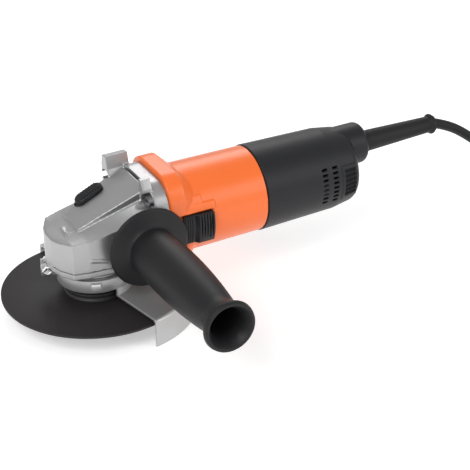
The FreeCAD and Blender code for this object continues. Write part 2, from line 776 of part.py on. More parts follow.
def spindle_lock():
    button = new_body("lock_button")
    pad(button, pill(new_sketch(button, "XY", "button_base")), "button_top - button_base + 2")
    front = "button_forward - button_half_long"
    back = "button_forward + button_half_long"
    above = outline(new_sketch(button, "XZ", "-button_side - button_half_wide - 1"), [
        (front, "button_low"), (back, "button_top"), (back, "button_top + 5"), (front, "button_top + 5")])
    pocket(button, above, "button_half_wide * 2 + 2", back=True)
    room = circle(new_sketch(button, "XY", "button_base - 1"), "lock_pin_forward", "lock_pin_side",
                  "lock_pin_radius + 1.5")
    pocket(button, room, "1 + lock_room_depth", back=True)
    seat = circle(new_sketch(button, "XY", "button_base - 1"), "lock_pin_forward", "lock_pin_side",
                  "lock_pin_radius")
    pocket(button, seat, "1 + lock_seat_depth", back=True)
    soften(button, "1.2", lambda edge: edge.BoundBox.ZMin > size("button_low") - 0.01
           and edge.BoundBox.ZLength > 1)
    pin = new_body("lock_pin")
    pad(pin, circle(new_sketch(pin, "XY", "-web_top + 1.6"), "lock_pin_forward", "lock_pin_side",
                    "lock_pin_radius"), "web_top - 1.6 + button_base + lock_seat_depth")
    spring_coil("lock_spring", size("lock_pin_radius + 0.75"), size("lock_spring_wire"),
                size("axis_height + button_floor"),
                size("axis_height + button_base + lock_room_depth - 0.1"), 5,
                (size("lock_pin_forward"), size("lock_pin_side")))


# ---------------------------------------------------------------- motor


def rotor():
    shaft = new_body("armature_shaft")
    revolve(shaft, [
        ("pinion_room_front + 0.6", "0"), ("pinion_room_front + 0.6", "2.2"), ("tooth_inner - 0.6", "2.2"),
        ("tooth_inner - 0.6", "2.5"), ("front_bearing_start - 0.5", "2.5"),
        ("front_bearing_start - 0.5", "front_bearing_bore"),
        ("front_bearing_start + 9", "front_bearing_bore"), ("front_bearing_start + 9", "6"),
        ("core_start - 2", "6"), ("core_start - 2", "5"),
        ("rear_bearing_start - 0.5", "5"), ("rear_bearing_start - 0.5", "rear_bearing_bore"),
        ("carrier_end - 2", "rear_bearing_bore"), ("carrier_end - 2", "0")], "X")
    nut = new_body("pinion_nut")
    revolve(nut, [("pinion_room_front + 0.9", "2.2"), ("pinion_room_front + 0.9", "3.4"),
                  ("tooth_inner - 0.6", "3.4"), ("tooth_inner - 0.6", "2.2")], "X")
    core = new_body("armature_core")
    revolve(core, [("core_start", "5"), ("core_start", "core_radius"), ("core_end", "core_radius"),
                   ("core_end", "5")], "X")
    slot = box_outline(new_sketch(core, "YZ", "core_start - 1"), "-1", "core_radius - 4.5", "1",
                       "core_radius + 1")
    repeat_round(core, pocket(core, slot, "core_end - core_start + 2", back=True), "12", "X")
    windings = doc.addObject("Part::Compound", "armature_windings")
    ends = []
    for label, face, away in (("front_turns", "core_start", -1), ("rear_turns", "core_end", 1)):
        body = doc.addObject("PartDesign::Body", label)
        revolve(body, [(face, "6.2"), (face, "14.2"), (f"{face} + {away} * 4", "14.2"),
                       (f"{face} + {away} * 8", "10.5"), (f"{face} + {away} * 8", "6.2")], "X")
        ends.append(body)
    windings.Links = ends
    tie(windings, "Placement.Base.z", "axis_height")
    keep(windings, "armature_windings")
    bars = new_body("commutator")
    revolve(bars, [("commutator_start - 2", "5"), ("commutator_start - 2", "commutator_radius + 1.6"),
                   ("commutator_start", "commutator_radius + 1.6"), ("commutator_start", "commutator_radius"),
                   ("commutator_end", "commutator_radius"), ("commutator_end", "5")], "X")
    gap = box_outline(new_sketch(bars, "YZ", "commutator_start - 3"), "-0.25", "commutator_radius - 0.8",
                      "0.25", "commutator_radius + 3")
    repeat_round(bars, pocket(bars, gap, "commutator_end - commutator_start + 4", back=True), "24", "X")


def fan():
    body = new_body("fan")
    revolve(body, [("fan_start", "6"), ("fan_start", "9"), ("fan_end - 1.6", "10.5"),
                   ("fan_end - 1.6", "fan_radius"), ("fan_end", "fan_radius"), ("fan_end", "6")], "X")
    blade = outline(new_sketch(body, "YZ", "fan_start + 1"), [
        ("-0.6", "8.6"), ("0.6", "8.6"), ("4.6", "fan_radius - 0.8"), ("3.4", "fan_radius - 0.6")])
    repeat_round(body, pad(body, blade, "fan_end - fan_start - 2"), "14", "X")
    return body


def stator():
    core = new_body("field_core")
    ring = new_sketch(core, "YZ", "core_start")
    rise = "sqrt(field_radius * field_radius - field_flat * field_flat)"
    outline(ring, [("-field_flat", f"-{rise}"), ("field_flat", f"-{rise}"), ("field_flat", rise),
                   ("-field_flat", rise)], {0: "field_radius", 2: "field_radius"})
    circle(ring, "0", "0", "field_bore")
    pad(core, ring, "core_end - core_start")
    coils = doc.addObject("Part::Compound", "field_windings")
    links = []
    for height in (-1, 1):
        for near, name in (("core_start - 6", "front"), ("core_end", "rear")):
            body = doc.addObject("PartDesign::Body", f"field_turns_{name}_{height + 1}")
            arc = outline(new_sketch(body, "YZ", near), [
                ("-15", f"{height} * 12"), ("15", f"{height} * 12"), ("13", f"{height} * 21"),
                ("-13", f"{height} * 21")], {0: f"{-height} * 19.3", 2: f"{height} * 24.7"})
            pad(body, arc, "6")
            links.append(body)
    coils.Links = links
    tie(coils, "Placement.Base.z", "axis_height")
    keep(coils, "field_windings")
    baffle = new_body("air_baffle")
    revolve(baffle, [("fan_end + 0.8", "19"), ("fan_end + 0.8", "housing_bore"),
                     ("fan_end + 3", "housing_bore"), ("fan_end + 3", "19")], "X")
    notch = box_outline(new_sketch(baffle, "XZ", "rod_outer - rod_thick - 1"), "fan_end",
                        "-rod_height - 3.6", "fan_end + 4", "-rod_height + 3.6")
    pocket(baffle, notch, "5", back=True)


def brush_gear():
    holders = doc.addObject("Part::Compound", "brush_holders")
    links = []
    for height in (-1, 1):
        low = "(commutator_radius + 1.2)"
        body = doc.addObject("PartDesign::Body", f"brush_holder_{height + 1}")
        wall = "(brush_box_wall + brush_play)"
        case = box_outline(new_sketch(body, "XY", f"{height} * ({low})"),
                           f"brush_centre - brush_long / 2 - {wall}", f"-brush_wide / 2 - {wall}",
                           f"brush_centre + brush_long / 2 + {wall}", f"brush_wide / 2 + {wall}")
        seat = f"sqrt(carrier_bore ^ 2 - (brush_wide / 2 + {wall}) ^ 2)"
        pad(body, case, f"{seat} - {low}", back=height < 0)
        hole = box_outline(new_sketch(body, "XY", f"{height} * ({low} - 1)"),
                           "brush_centre - brush_long / 2 - brush_play", "-brush_wide / 2 - brush_play",
                           "brush_centre + brush_long / 2 + brush_play", "brush_wide / 2 + brush_play")
        pocket(body, hole, f"brush_cap - ({low}) + 1", back=height > 0)
        links.append(body)
    holders.Links = links
    tie(holders, "Placement.Base.z", "axis_height")
    keep(holders, "brush_holders")
    for name, height in (("lower", -1), ("upper", 1)):
        brush = new_body(f"{name}_brush")
        face = box_outline(new_sketch(brush, "XY", f"{height} * (commutator_radius + body_gap)"),
                           "brush_centre - brush_long / 2", "-brush_wide / 2",
                           "brush_centre + brush_long / 2", "brush_wide / 2")
        pad(brush, face, "brush_top - commutator_radius - body_gap", back=height < 0)
        span = sorted((size(f"axis_height + {height} * (brush_top + 0.05)"),
                       size(f"axis_height + {height} * (brush_cap - 0.05)")))
        spring_coil(f"{name}_brush_spring", 1.6, size("brush_spring_wire"), *span, 4,
                    (size("brush_centre"), 0))


def motor_housing():
    body = new_body("motor_housing")
    front = "(case_rear + flange_thick)"
    revolve(body, [
        (front, "0"), (front, "housing_front_radius"), ("seam - 0.2", "housing_rear_radius"),
        ("seam - 0.2", "carrier_front_radius"), ("carrier_end", "carrier_rear_radius"),
        ("carrier_end", "0")], "X")
    corners = ("flange_corner", "flange_low_corner")
    pad(body, rounded_square(new_sketch(body, "YZ", front), "collar_half", "collar_top", *corners),
        f"collar_end - {front}")
    loft(body, [rounded_square(new_sketch(body, "YZ", "collar_end - 0.1"), "collar_half", "collar_top",
                               *corners),
                rounded_square(new_sketch(body, "YZ", "collar_fade"), "24", "24", "14", "14")])
    seat = "(rear_bearing_outer + rear_sleeve_wall)"
    groove(body, [
        (f"{front} - 1", "0"), (f"{front} - 1", "housing_bore"), ("core_end + 3", "housing_bore"),
        ("core_end + 9", "carrier_bore"), ("rear_bearing_start - 1", "carrier_bore"),
        ("rear_bearing_start - 1", seat), ("rear_bearing_start + rear_bearing_width", seat),
        ("rear_bearing_start + rear_bearing_width", "rear_bearing_bore + 2"),
        ("carrier_end + 1", "rear_bearing_bore + 2"), ("carrier_end + 1", "0")], "X")
    window = outline(new_sketch(body, "YZ", "rear_bearing_start - 2"), [
        ("-3.4", f"{seat} + 2"), ("3.4", f"{seat} + 2"), ("4.6", "carrier_bore - 1.2"),
        ("-4.6", "carrier_bore - 1.2")])
    repeat_round(body, pocket(body, window, "carrier_end - rear_bearing_start + 4", back=True), "8", "X")
    for side in (-1, 1):
        for height in (-1, 1):
            hole = circle(new_sketch(body, "YZ", f"{front} - 1"), f"{side} * case_screw_side",
                          f"{height} * case_screw_side", "2")
            pocket(body, hole, "15.5", back=True)
    seat_cut = box_outline(new_sketch(body, "XZ", "slide_floor"), "slide_front - slide_travel - 1.2",
                           "-slide_low - 1", "slide_back + 1.2", "slide_high + 1")
    pocket(body, seat_cut, "10", back=True)
    slot = box_outline(new_sketch(body, "XZ", "20"), "slide_front + 5 - slide_travel", "-rod_height - 4.2",
                       "slide_back - 4", "-rod_height + 4.2")
    pocket(body, slot, "20", back=True)
    channel = box_outline(new_sketch(body, "XZ", "carrier_bore - 2"), "core_end + 1",
                          "-rod_height - rod_half - 0.6", "carrier_end + 1", "-rod_height + rod_half + 0.6")
    pocket(body, channel, "rod_outer - carrier_bore + 2.5", back=True)
    return body


# ---------------------------------------------------------------- slide switch


def slide_switch():
    slider = new_body("slide_button")
    plate = box_outline(new_sketch(slider, "XZ", "slide_floor + body_gap"), "slide_front", "-slide_low",
                        "slide_back", "slide_high")
    pad(slider, plate, "slide_outer - slide_floor - body_gap")
    groove(slider, [("slide_front - 1", "slide_dip"), ("slide_rise", "slide_dip"),
                    ("slide_rise + 2", "slide_outer"), ("slide_back + 1", "slide_outer"),
                    ("slide_back + 1", "slide_outer + 9"), ("slide_front - 1", "slide_outer + 9")], "X")
    rib = box_outline(new_sketch(slider, "XZ", "slide_outer - 1.4"), "slide_rise + 3", "-slide_low - 1",
                      "slide_rise + 3.9", "slide_high + 1")
    repeat_along(slider, pocket(slider, rib, "6", back=True), "5", "8", "X")
    stem = box_outline(new_sketch(slider, "XZ", "rod_outer"), "slide_front + 6", "-rod_height - 3",
                       "slide_back - 5.5", "-rod_height + 3")
    pad(slider, stem, "slide_floor + body_gap - rod_outer + 0.2")
    rod = new_body("switch_rod")
    bar = box_outline(new_sketch(rod, "XZ", "rod_outer - rod_thick"), "fan_end + 2 + slide_travel",
                      "-rod_height - rod_half", "rod_end", "-rod_height + rod_half")
    pad(rod, bar, "rod_thick")


# ---------------------------------------------------------------- rear housing


def rear_housing():
    body = new_body("rear_housing")
    outer = [("seam", "0"), ("seam", "rear_front_radius"), ("rear_mid", "rear_mid_radius"),
             ("rear_end - 5", "rear_mid_radius - 2.2"), ("rear_end", "rear_mid_radius - 9"),
             ("rear_end", "0")]
    revolve(body, outer, "X", {3: "-7"})
    barrel = circle(new_sketch(body, "YZ", "barrel_start"), "0", "barrel_height", "barrel_radius")
    pad(body, barrel, "barrel_end - barrel_start")
    soften(body, "4.5", lambda edge: edge.BoundBox.XMin > size("barrel_end") - 0.01)
    groove(body, [
        ("seam - 1", "0"), ("seam - 1", "rear_bore"), ("carrier_end + 2", "rear_bore"),
        ("rear_mid", "rear_mid_radius - rear_wall"), ("rear_end - 6", "rear_mid_radius - 4.6"),
        ("rear_end - rear_wall", "rear_mid_radius - 12"), ("rear_end - rear_wall", "0")], "X")
    hollow = circle(new_sketch(body, "YZ", "rear_mid"), "0", "barrel_height", "barrel_radius - rear_wall")
    pocket(body, hollow, "barrel_end - rear_mid - rear_wall", back=True)
    mouth = circle(new_sketch(body, "YZ", "rear_mid"), "0", "relief_height", "relief_root")
    pocket(body, mouth, "barrel_end - rear_mid + 2", back=True)
    for start in ("vent_start", "vent_start + vent_long + 4"):
        vent = box_outline(new_sketch(body, "XZ", "-40"), start, "-vent_rise - vent_slot",
                           f"{start} + vent_long", "-vent_rise")
        repeat_along(body, pocket(body, vent, "80", back=True), "8", "23.8", "Z")
    rest = box_outline(new_sketch(body, "XY", "-6"), "rod_end + 4", "-rear_bore - 0.5", "rod_end + 12", "-21")
    pad(body, rest, "10")
    return body


def rear_internals():
    unit = new_body("switch_unit")
    shell = box_outline(new_sketch(unit, "XY", "-14"), "rod_end + 0.6", "-21", "rod_end + 16", "-6")
    pad(unit, shell, "22")
    lug = box_outline(new_sketch(unit, "XY", "4"), "rod_end + 3", "-6.2", "rod_end + 12", "-3")
    pad(unit, lug, "3")
    capacitor = new_body("suppressor_capacitor")
    can = circle(new_sketch(capacitor, "YZ", "carrier_end + 5.6"), "1", "-7", "7")
    pad(capacitor, can, "22")
    clamp = new_body("cord_clamp")
    plate = box_outline(new_sketch(clamp, "YZ", "rear_mid + 6"), "-9.5", "relief_height + 3.6", "9.5",
                        "relief_height + 6.2")
    pad(clamp, plate, "clamp_long")
    lead = new_body("clamped_lead")
    pad(lead, circle(new_sketch(lead, "YZ", "rear_mid + 2"), "0", "relief_height", "cord_radius"),
        "relief_end - 1.4 - rear_mid - 2")
    bridge = new_body("clamp_base")
    base = box_outline(new_sketch(bridge, "YZ", "rear_mid + 6"), "-22", "relief_height - 8", "22",
                       "relief_height - 3.6")
    pad(bridge, base, "clamp_long")
    middle = "rear_mid + 6 + clamp_long / 2"
    places = [(middle, "-clamp_screw_side"), (middle, "clamp_screw_side")]
    for across, up in places:
        for part, low in ((clamp, "relief_height + 3"), (bridge, "relief_height - 7")):
            pocket(part, circle(new_sketch(part, "XY", low), across, up, "1.4"), "4", back=True)
    screw_group("clamp_screws", places, plane="XY", start="relief_height + 6.2", head_radius="2.2",
                head_high="1.8", shank_radius="1.4", shank_long="13.2", back=True)


def strain_relief():
    body = new_body("strain_relief", at=("0", "0", "axis_height + relief_height"))
    start = "(barrel_end - rear_wall - 6)"
    revolve(body, [
        (start, "cord_radius"), (start, "relief_root + 2.2"), (f"{start} + 3", "relief_root + 2.2"),
        (f"{start} + 3", "relief_root"), ("barrel_end + 1", "relief_root"),
        ("relief_end - 5.4", "relief_tip"), ("relief_end - 4.6", "relief_bead"),
        ("relief_end", "relief_bead"), ("relief_end", "cord_radius")], "X")
    return body


# ---------------------------------------------------------------- side handle


def side_handle():
    """The grip turns about its own axis, so it is drawn along X and turned to point to -Y."""
    at = ("handle_forward", "0", "axis_height - handle_drop")
    grip = new_body("side_handle", at=at, turn=((0, 0, 1), "-90"))
    revolve(grip, [
        ("socket_face + 0.3", "stud_radius"), ("socket_face + 0.3", "11.5"),
        ("hand_guard_near - 1.2", "hand_guard_radius - 1.6"), ("hand_guard_near", "hand_guard_radius"),
        ("hand_guard_near + 1.4", "hand_guard_radius"), ("hand_guard_near + 2.6", "hand_guard_radius - 2"),
        ("hand_guard_near + 3.6", "grip_root_radius + 3"), ("hand_guard_near + 6", "grip_root_radius"),
        ("grip_end - 16", "grip_waist_radius"), ("grip_end - 3", "grip_flare_radius"),
        ("grip_end", "grip_flare_radius - 0.8"), ("grip_end", "grip_flare_radius - 2.6"),
        ("grip_end - 6", "grip_hollow_radius"), ("grip_end - grip_hollow_depth", "grip_hollow_radius"),
        ("grip_end - grip_hollow_depth", "0"), ("70", "0"), ("70", "stud_radius")],
        "X", {7: "-420", 8: "26"})
    stud = new_body("handle_stud", at=at, turn=((0, 0, 1), "-90"))
    tip = "socket_face - socket_depth + 1"
    revolve(stud, [(tip, "0"), (tip, "socket_radius"), ("socket_face + 0.1", "socket_radius"),
                   ("socket_face + 0.1", "stud_radius"), ("69", "stud_radius"), ("69", "0")], "X")


# ---------------------------------------------------------------- disc guard


def disc_guard():
    inner = "(neck_radius + running_gap)"
    cover = new_body("guard_cover", turn=((0, 0, 1), "guard_start"))
    revolve(cover, [
        (inner, "-band_bottom"), (f"{inner} + band_thick", "-band_bottom"),
        (f"{inner} + band_thick", "-guard_top"), ("guard_radius - 2.5", "-guard_top"),
        ("guard_radius", "-guard_top - 2.5"), ("guard_radius", "-guard_bottom"),
        ("guard_radius - guard_sheet", "-guard_bottom"),
        ("guard_radius - guard_sheet", "-guard_top - 3"),
        ("guard_radius - 3", "-guard_top - guard_sheet"), (inner, "-guard_top - guard_sheet")], "Z",
        {3: "-2.5"}, angle="guard_sweep")
    band = new_body("guard_band", turn=((0, 0, 1), "clamp_angle"))
    ring = new_sketch(band, "XY", "-band_bottom")
    circle(ring, "0", "0", f"{inner} + band_thick")
    circle(ring, "0", "0", inner)
    pad(band, ring, "band_bottom - band_top")
    for side in (-1, 1):
        edges = (f"{side} * ear_gap / 2", f"{side} * (ear_gap / 2 + band_thick)")
        ear = box_outline(new_sketch(band, "XY", "-ear_bottom"), inner + " + 0.5", edges[0], "ear_reach",
                          edges[1])
        pad(band, ear, "ear_bottom - ear_top")
    gap = box_outline(new_sketch(band, "XY", "-band_bottom - 1"), f"{inner} - 3", "-ear_gap / 2",
                      "ear_reach + 1", "ear_gap / 2")
    pocket(band, gap, "band_bottom - ear_top + 2", back=True)
    slot = box_outline(new_sketch(band, "XZ", "-neck_radius - band_thick - 1"), "-index_slot_long / 2",
                       "-index_slot_height - index_slot_high / 2", "index_slot_long / 2",
                       "-index_slot_height + index_slot_high / 2")
    pocket(band, slot, "band_thick + 4", back=True)
    axis_place = ("ear_reach - 4.5", "-clamp_screw_height")
    bolt = circle(new_sketch(band, "XZ", "-ear_gap"), *axis_place, "clamp_screw_radius + 0.05")
    pocket(band, bolt, "ear_gap * 2", back=True)
    outer = "(ear_gap / 2 + band_thick)"
    clamp = new_body("guard_screw", turn=((0, 0, 1), "clamp_angle"))
    screw(clamp, *axis_place, plane="XZ", start=f"-{outer}", head_radius="clamp_head_radius", head_high="2.8",
          shank_radius="clamp_screw_radius", shank_long="ear_gap + 2 * band_thick + 5")
    nut = new_body("guard_nut", turn=((0, 0, 1), "clamp_angle"))
    hexagon = new_sketch(nut, "XZ", outer)
    corners = [(f"{axis_place[0]} + 4 * cos({angle})", f"{axis_place[1]} + 4 * sin({angle})")
               for angle in range(0, 360, 60)]
    outline(hexagon, corners)
    circle(hexagon, *axis_place, "clamp_screw_radius")
    pad(nut, hexagon, "3.4")


# ---------------------------------------------------------------- cord and plug

# The cord's centre line from just after the strain relief to the coil, and from the coil to the
# plug. Heights are from the motor axis.
LEAD_ROUTE = [(274, 0, 6.6), (290, 0, -5), (306, -1, -19.5), (323, -3, -34.5), (342, -7, -46.5),
              (363, -13, -53.8), (380, -24, -54.9), (392, -39.5, -54.9)]
TAIL_ROUTE = [(409, -75, -48.2), (416.5, -90, -49.8), (421, -107, -50.6), (422, -124, -49.9)]


def tube(name, route):
    """A round lead: straight runs joined by arcs as large as the two runs beside each allow."""
    radius = size("cord_radius")
    points = [Vector(x, y, size("axis_height") + z) for x, y, z in route]
    edges = []
    start = points[0]
    bends = []
    for before, corner, after in zip(points, points[1:], points[2:]):
        inward = (corner - before).normalize()
        outward = (after - corner).normalize()
        turn = inward.getAngle(outward)
        reach = 0.45 * min((corner - before).Length, (after - corner).Length)
        bend = reach / math.tan(turn / 2)
        bends.append(round(bend, 1))
        enter = corner - inward * reach
        leave = corner + outward * reach
        middle = corner + (outward - inward).normalize() * bend * (1 / math.cos(turn / 2) - 1)
        edges.append(Part.LineSegment(start, enter).toShape())
        edges.append(Part.Arc(enter, middle, leave).toShape())
        start = leave
    edges.append(Part.LineSegment(start, points[-1]).toShape())
    path = Part.Wire(edges)
    facing = points[1] - points[0]
    section = Part.Wire([Part.makeCircle(radius, points[0], facing)])
    lead = doc.addObject("Part::Feature", name)
    lead.Shape = path.makePipeShell([section], True, True)
    expected = path.Length * math.pi * radius * radius
    print(f"{name}: length {path.Length:.1f}, bend radii {bends}, "
          f"volume {lead.Shape.Volume:.0f} of {expected:.0f}")
    return keep(lead, name)


def cord_and_plug():
    tube("supply_cord", [(size("relief_end"), 0, size("relief_height"))] + LEAD_ROUTE)
    tube("cord_tail", TAIL_ROUTE)
    place = ("coil_along", "coil_side", "axis_height - guard_bottom + 0.1")
    coil = new_body("cord_coil", at=place)
    edge = "3"
    revolve(coil, [
        ("coil_middle - coil_half_wide", edge), (f"coil_middle - coil_half_wide + {edge}", "0"),
        (f"coil_middle + coil_half_wide - {edge}", "0"), ("coil_middle + coil_half_wide", edge),
        ("coil_middle + coil_half_wide", f"coil_height - {edge}"),
        (f"coil_middle + coil_half_wide - {edge}", "coil_height"),
        (f"coil_middle - coil_half_wide + {edge}", "coil_height"),
        ("coil_middle - coil_half_wide", f"coil_height - {edge}")], "Z",
        {0: "3", 2: "3", 4: "3", 6: "3"})
    wrap = new_body("cord_tie", at=place, turn=((0, 0, 1), "tie_angle"))
    low = "coil_middle - coil_half_wide - tie_thick - 0.4"
    high = "coil_middle + coil_half_wide + tie_thick"
    strap = box_outline(new_sketch(wrap, "XZ", "-tie_wide / 2"), low, "-0.08", high,
                        "coil_height + tie_thick")
    pad(wrap, strap, "tie_wide")
    inside = box_outline(new_sketch(wrap, "XZ", "-tie_wide"), f"{low} + tie_thick", "0",
                         f"{high} - tie_thick", "coil_height")
    pocket(wrap, inside, "tie_wide * 2", back=True)
    end = Vector(*TAIL_ROUTE[-1])
    plug_place = (str(end.x), str(end.y), "axis_height - guard_bottom + plug_half_high + 0.1")
    plug = new_body("plug_body", at=plug_place)
    stem = circle(new_sketch(plug, "XZ", "0"), "0", "0", "cord_radius + 1.4")
    pad(plug, stem, "10")
    face = outline(new_sketch(plug, "XZ", "8"), [
        ("-plug_half_wide + plug_half_high", "-plug_half_high"),
        ("plug_half_wide - plug_half_high", "-plug_half_high"),
        ("plug_half_wide - plug_half_high", "plug_half_high"),
        ("-plug_half_wide + plug_half_high", "plug_half_high")],
        {1: "plug_half_high * 1.0001", 3: "plug_half_high * 1.0001"})
    pad(plug, face, "plug_long - 8")
    for side in (-1, 1):
        seat = circle(new_sketch(plug, "XZ", "plug_long - 6"), f"{side} * plug_pin_spacing / 2", "0",
                      "plug_pin_radius - plug_pin_step")
        pocket(plug, seat, "8", back=True)
    pins = doc.addObject("Part::Compound", "plug_pins")
    links = []
    for side in (-1, 1):
        body = doc.addObject("PartDesign::Body", f"plug_pin_{side + 1}")
        body.Label = f"plug_pin_{side + 1}"
        across = f"{side} * plug_pin_spacing / 2"
        root = circle(new_sketch(body, "XZ", "plug_long - 6"), across, "0", "plug_pin_radius - plug_pin_step")
        pad(body, root, "plug_pin_length")
        pin = circle(new_sketch(body, "XZ", "plug_long + plug_pin_step"), across, "0", "plug_pin_radius")
        pad(body, pin, "plug_pin_length - plug_pin_step")
        links.append(body)
    pins.Links = links
    for letter, text in zip("xyz", plug_place):
        tie(pins, f"Placement.Base.{letter}", text)
    keep(pins, "plug_pins")


# ---------------------------------------------------------------- build and write

gear_case()
bearing_cover()
case_fasteners()
bearings()
spindle()
crown_gear()
pinion()
disc_group()
spindle_lock()
rotor()
fan()
stator()
brush_gear()
motor_housing()
slide_switch()
rear_housing()
rear_internals()
strain_relief()
side_handle()
disc_guard()
cord_and_plug()

doc.recompute()

for item in doc.Objects:
    if "Invalid" in item.State or "Error" in item.State:
        raise RuntimeError(f"{item.Label} did not compute: {item.State}")
    if item.TypeId in ("PartDesign::Pocket", "PartDesign::Groove") and item.BaseFeature:
        if item.Shape.Volume > item.BaseFeature.Shape.Volume - 0.01:
            raise RuntimeError(f"{item.Label} cuts nothing")
for piece in pieces:
    if piece.Shape.isNull() or not piece.Shape.isValid():
        raise RuntimeError(f"{piece.Label} has no valid shape")

os.makedirs("parts", exist_ok=True)
for piece in pieces:
    piece.Shape.exportStep(f"parts/{piece.Label}.step")
print(len(pieces), "sub-parts written")
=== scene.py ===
# %% [markdown]
# # An angle grinder, dressed around its CAD model
#
# The CAD model is the fixed frame: it says where every piece is and how it moves. This lesson adds the
# looks: castings with soft edges, moulded plastic, pressed steel, the lead in its real length, and a
# small studio. Everything is in metres, with +X back along the motor and +Z up along the spindle.

# %% Load the frame
import json
import math

import bmesh
import bpy
from mathutils import Matrix, Vector


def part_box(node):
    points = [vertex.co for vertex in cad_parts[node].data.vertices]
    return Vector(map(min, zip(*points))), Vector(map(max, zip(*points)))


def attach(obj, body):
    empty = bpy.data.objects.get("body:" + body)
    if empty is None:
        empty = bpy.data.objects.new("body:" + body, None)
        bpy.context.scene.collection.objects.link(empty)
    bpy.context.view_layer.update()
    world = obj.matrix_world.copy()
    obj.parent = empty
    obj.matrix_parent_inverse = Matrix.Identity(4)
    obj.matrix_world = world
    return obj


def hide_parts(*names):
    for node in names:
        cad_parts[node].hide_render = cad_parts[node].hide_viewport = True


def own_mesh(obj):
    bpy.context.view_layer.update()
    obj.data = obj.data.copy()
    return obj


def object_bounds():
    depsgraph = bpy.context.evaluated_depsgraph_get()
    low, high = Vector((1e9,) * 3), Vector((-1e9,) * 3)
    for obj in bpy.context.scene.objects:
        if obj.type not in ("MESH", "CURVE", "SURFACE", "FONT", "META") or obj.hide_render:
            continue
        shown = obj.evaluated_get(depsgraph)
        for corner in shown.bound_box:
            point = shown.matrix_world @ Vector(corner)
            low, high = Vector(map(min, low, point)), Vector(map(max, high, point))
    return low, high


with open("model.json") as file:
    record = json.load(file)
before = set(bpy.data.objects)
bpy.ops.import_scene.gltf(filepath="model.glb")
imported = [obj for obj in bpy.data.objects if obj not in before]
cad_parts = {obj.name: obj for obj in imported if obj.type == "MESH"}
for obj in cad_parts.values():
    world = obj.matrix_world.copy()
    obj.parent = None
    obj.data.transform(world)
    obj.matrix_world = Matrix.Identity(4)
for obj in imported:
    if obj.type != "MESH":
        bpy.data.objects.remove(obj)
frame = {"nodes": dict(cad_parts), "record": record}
nodes = frame["nodes"]
cad_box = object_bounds()
print("CAD box", [[round(value, 4) for value in corner] for corner in cad_box])

# %% [markdown]
# ## Measures that the pieces share
#
# Heights and lengths come from the CAD nodes, so a piece follows the model when a size changes. The
# motor axis is the middle of the armature's shaft, and the floor is the lowest point of the whole tool.

# %% Shared measures
MM = 0.001


def low(node):
    """The lowest corner of a CAD node's box."""
    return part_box(node)[0]


def high(node):
    """The highest corner of a CAD node's box."""
    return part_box(node)[1]


axis_z = (low("armature_shaft").z + high("armature_shaft").z) / 2
floor_z = cad_box[0][2]
lead_d = high("clamped_lead").y - low("clamped_lead").y
print("motor axis", round(axis_z, 4), "floor", round(floor_z, 4), "lead", round(lead_d, 4))

# %% [markdown]
# ## The camera
#
# It looks down at the tool from the front left with a long lens, so the lines stay almost parallel. Its
# turn is built from three angles: round the tool, down at it, and a small tilt of the picture.

# %% Camera
CAMERA_AT = Vector((-0.43035, -1.05417, 0.68127))
AROUND = math.radians(-26.865)
DOWN = math.radians(29.138)
TILT = math.radians(-1.649)
LENS_MM = 153.2


def camera_turn(around, down, tilt):
    """The camera's axes as a matrix: right, up and backwards."""
    ahead = Vector((-math.sin(around) * math.cos(down), math.cos(around) * math.cos(down),
                    -math.sin(down)))
    right = Vector((math.cos(around), math.sin(around), 0))
    up = right.cross(ahead)
    level = Matrix((right, up, -ahead))
    roll = Matrix(((math.cos(tilt), math.sin(tilt), 0), (-math.sin(tilt), math.cos(tilt), 0), (0, 0, 1)))
    return (roll @ level).transposed()


camera_data = bpy.data.cameras.new("camera")
camera_data.lens = LENS_MM
camera_data.sensor_width = 36
camera_data.clip_start = 0.05
camera_data.clip_end = 20
camera = bpy.data.objects.new("camera", camera_data)
camera.matrix_world = Matrix.Translation(CAMERA_AT) @ camera_turn(AROUND, DOWN, TILT).to_4x4()
bpy.context.scene.collection.objects.link(camera)
bpy.context.scene.camera = camera
print("camera", [round(value, 3) for value in CAMERA_AT])

# %% [markdown]
# ## The lead
#
# A lead is a bendy thing of fixed length. It leaves the strain relief, comes down in one easy curve to
# the floor, and the length that isn't needed is wound beside the tool in two layers of four turns. One
# NURBS spline carries all of it. A NURBS curve passes near its points and not through them, which is
# just how a stiff lead rounds its corners. The turns are worked out by a loop, because they are regular.

# %% Lead: route of the free ends
LEAD_ROUTE = [(0.2605, 0, 0.0678), (0.274, 0, 0.0626), (0.290, 0, 0.051), (0.306, -0.001, 0.0365),
              (0.323, -0.003, 0.0215), (0.342, -0.007, 0.0095), (0.363, -0.013, 0.0022),
              (0.380, -0.024, 0.0011)]
TAIL_ROUTE = [(0.409, -0.075, 0.0078), (0.4165, -0.090, 0.0062), (0.421, -0.107, 0.0054),
              (0.422, -0.124, 0.0061)]
COIL_LOW, COIL_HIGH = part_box("cord_coil")
coil_middle = (COIL_LOW + COIL_HIGH) / 2
coil_outer = (COIL_HIGH.x - COIL_LOW.x) / 2 - lead_d / 2 - 0.1 * MM
TURN_POINTS = 16
TURN_STEP = 7.2 * MM
TURNS_IN_LAYER = 4
START_ANGLE = math.radians(42)
END_ANGLE = math.radians(30)


def ease(share):
    """A smooth change from 0 to 1."""
    share = min(1.0, max(0.0, share))
    return share * share * (3 - 2 * share)


def turn_radius(turn):
    """The radius of a numbered turn: inwards in the lower layer, outwards in the upper one."""
    step = turn if turn < TURNS_IN_LAYER else 2 * TURNS_IN_LAYER - 1 - turn
    return coil_outer - step * TURN_STEP


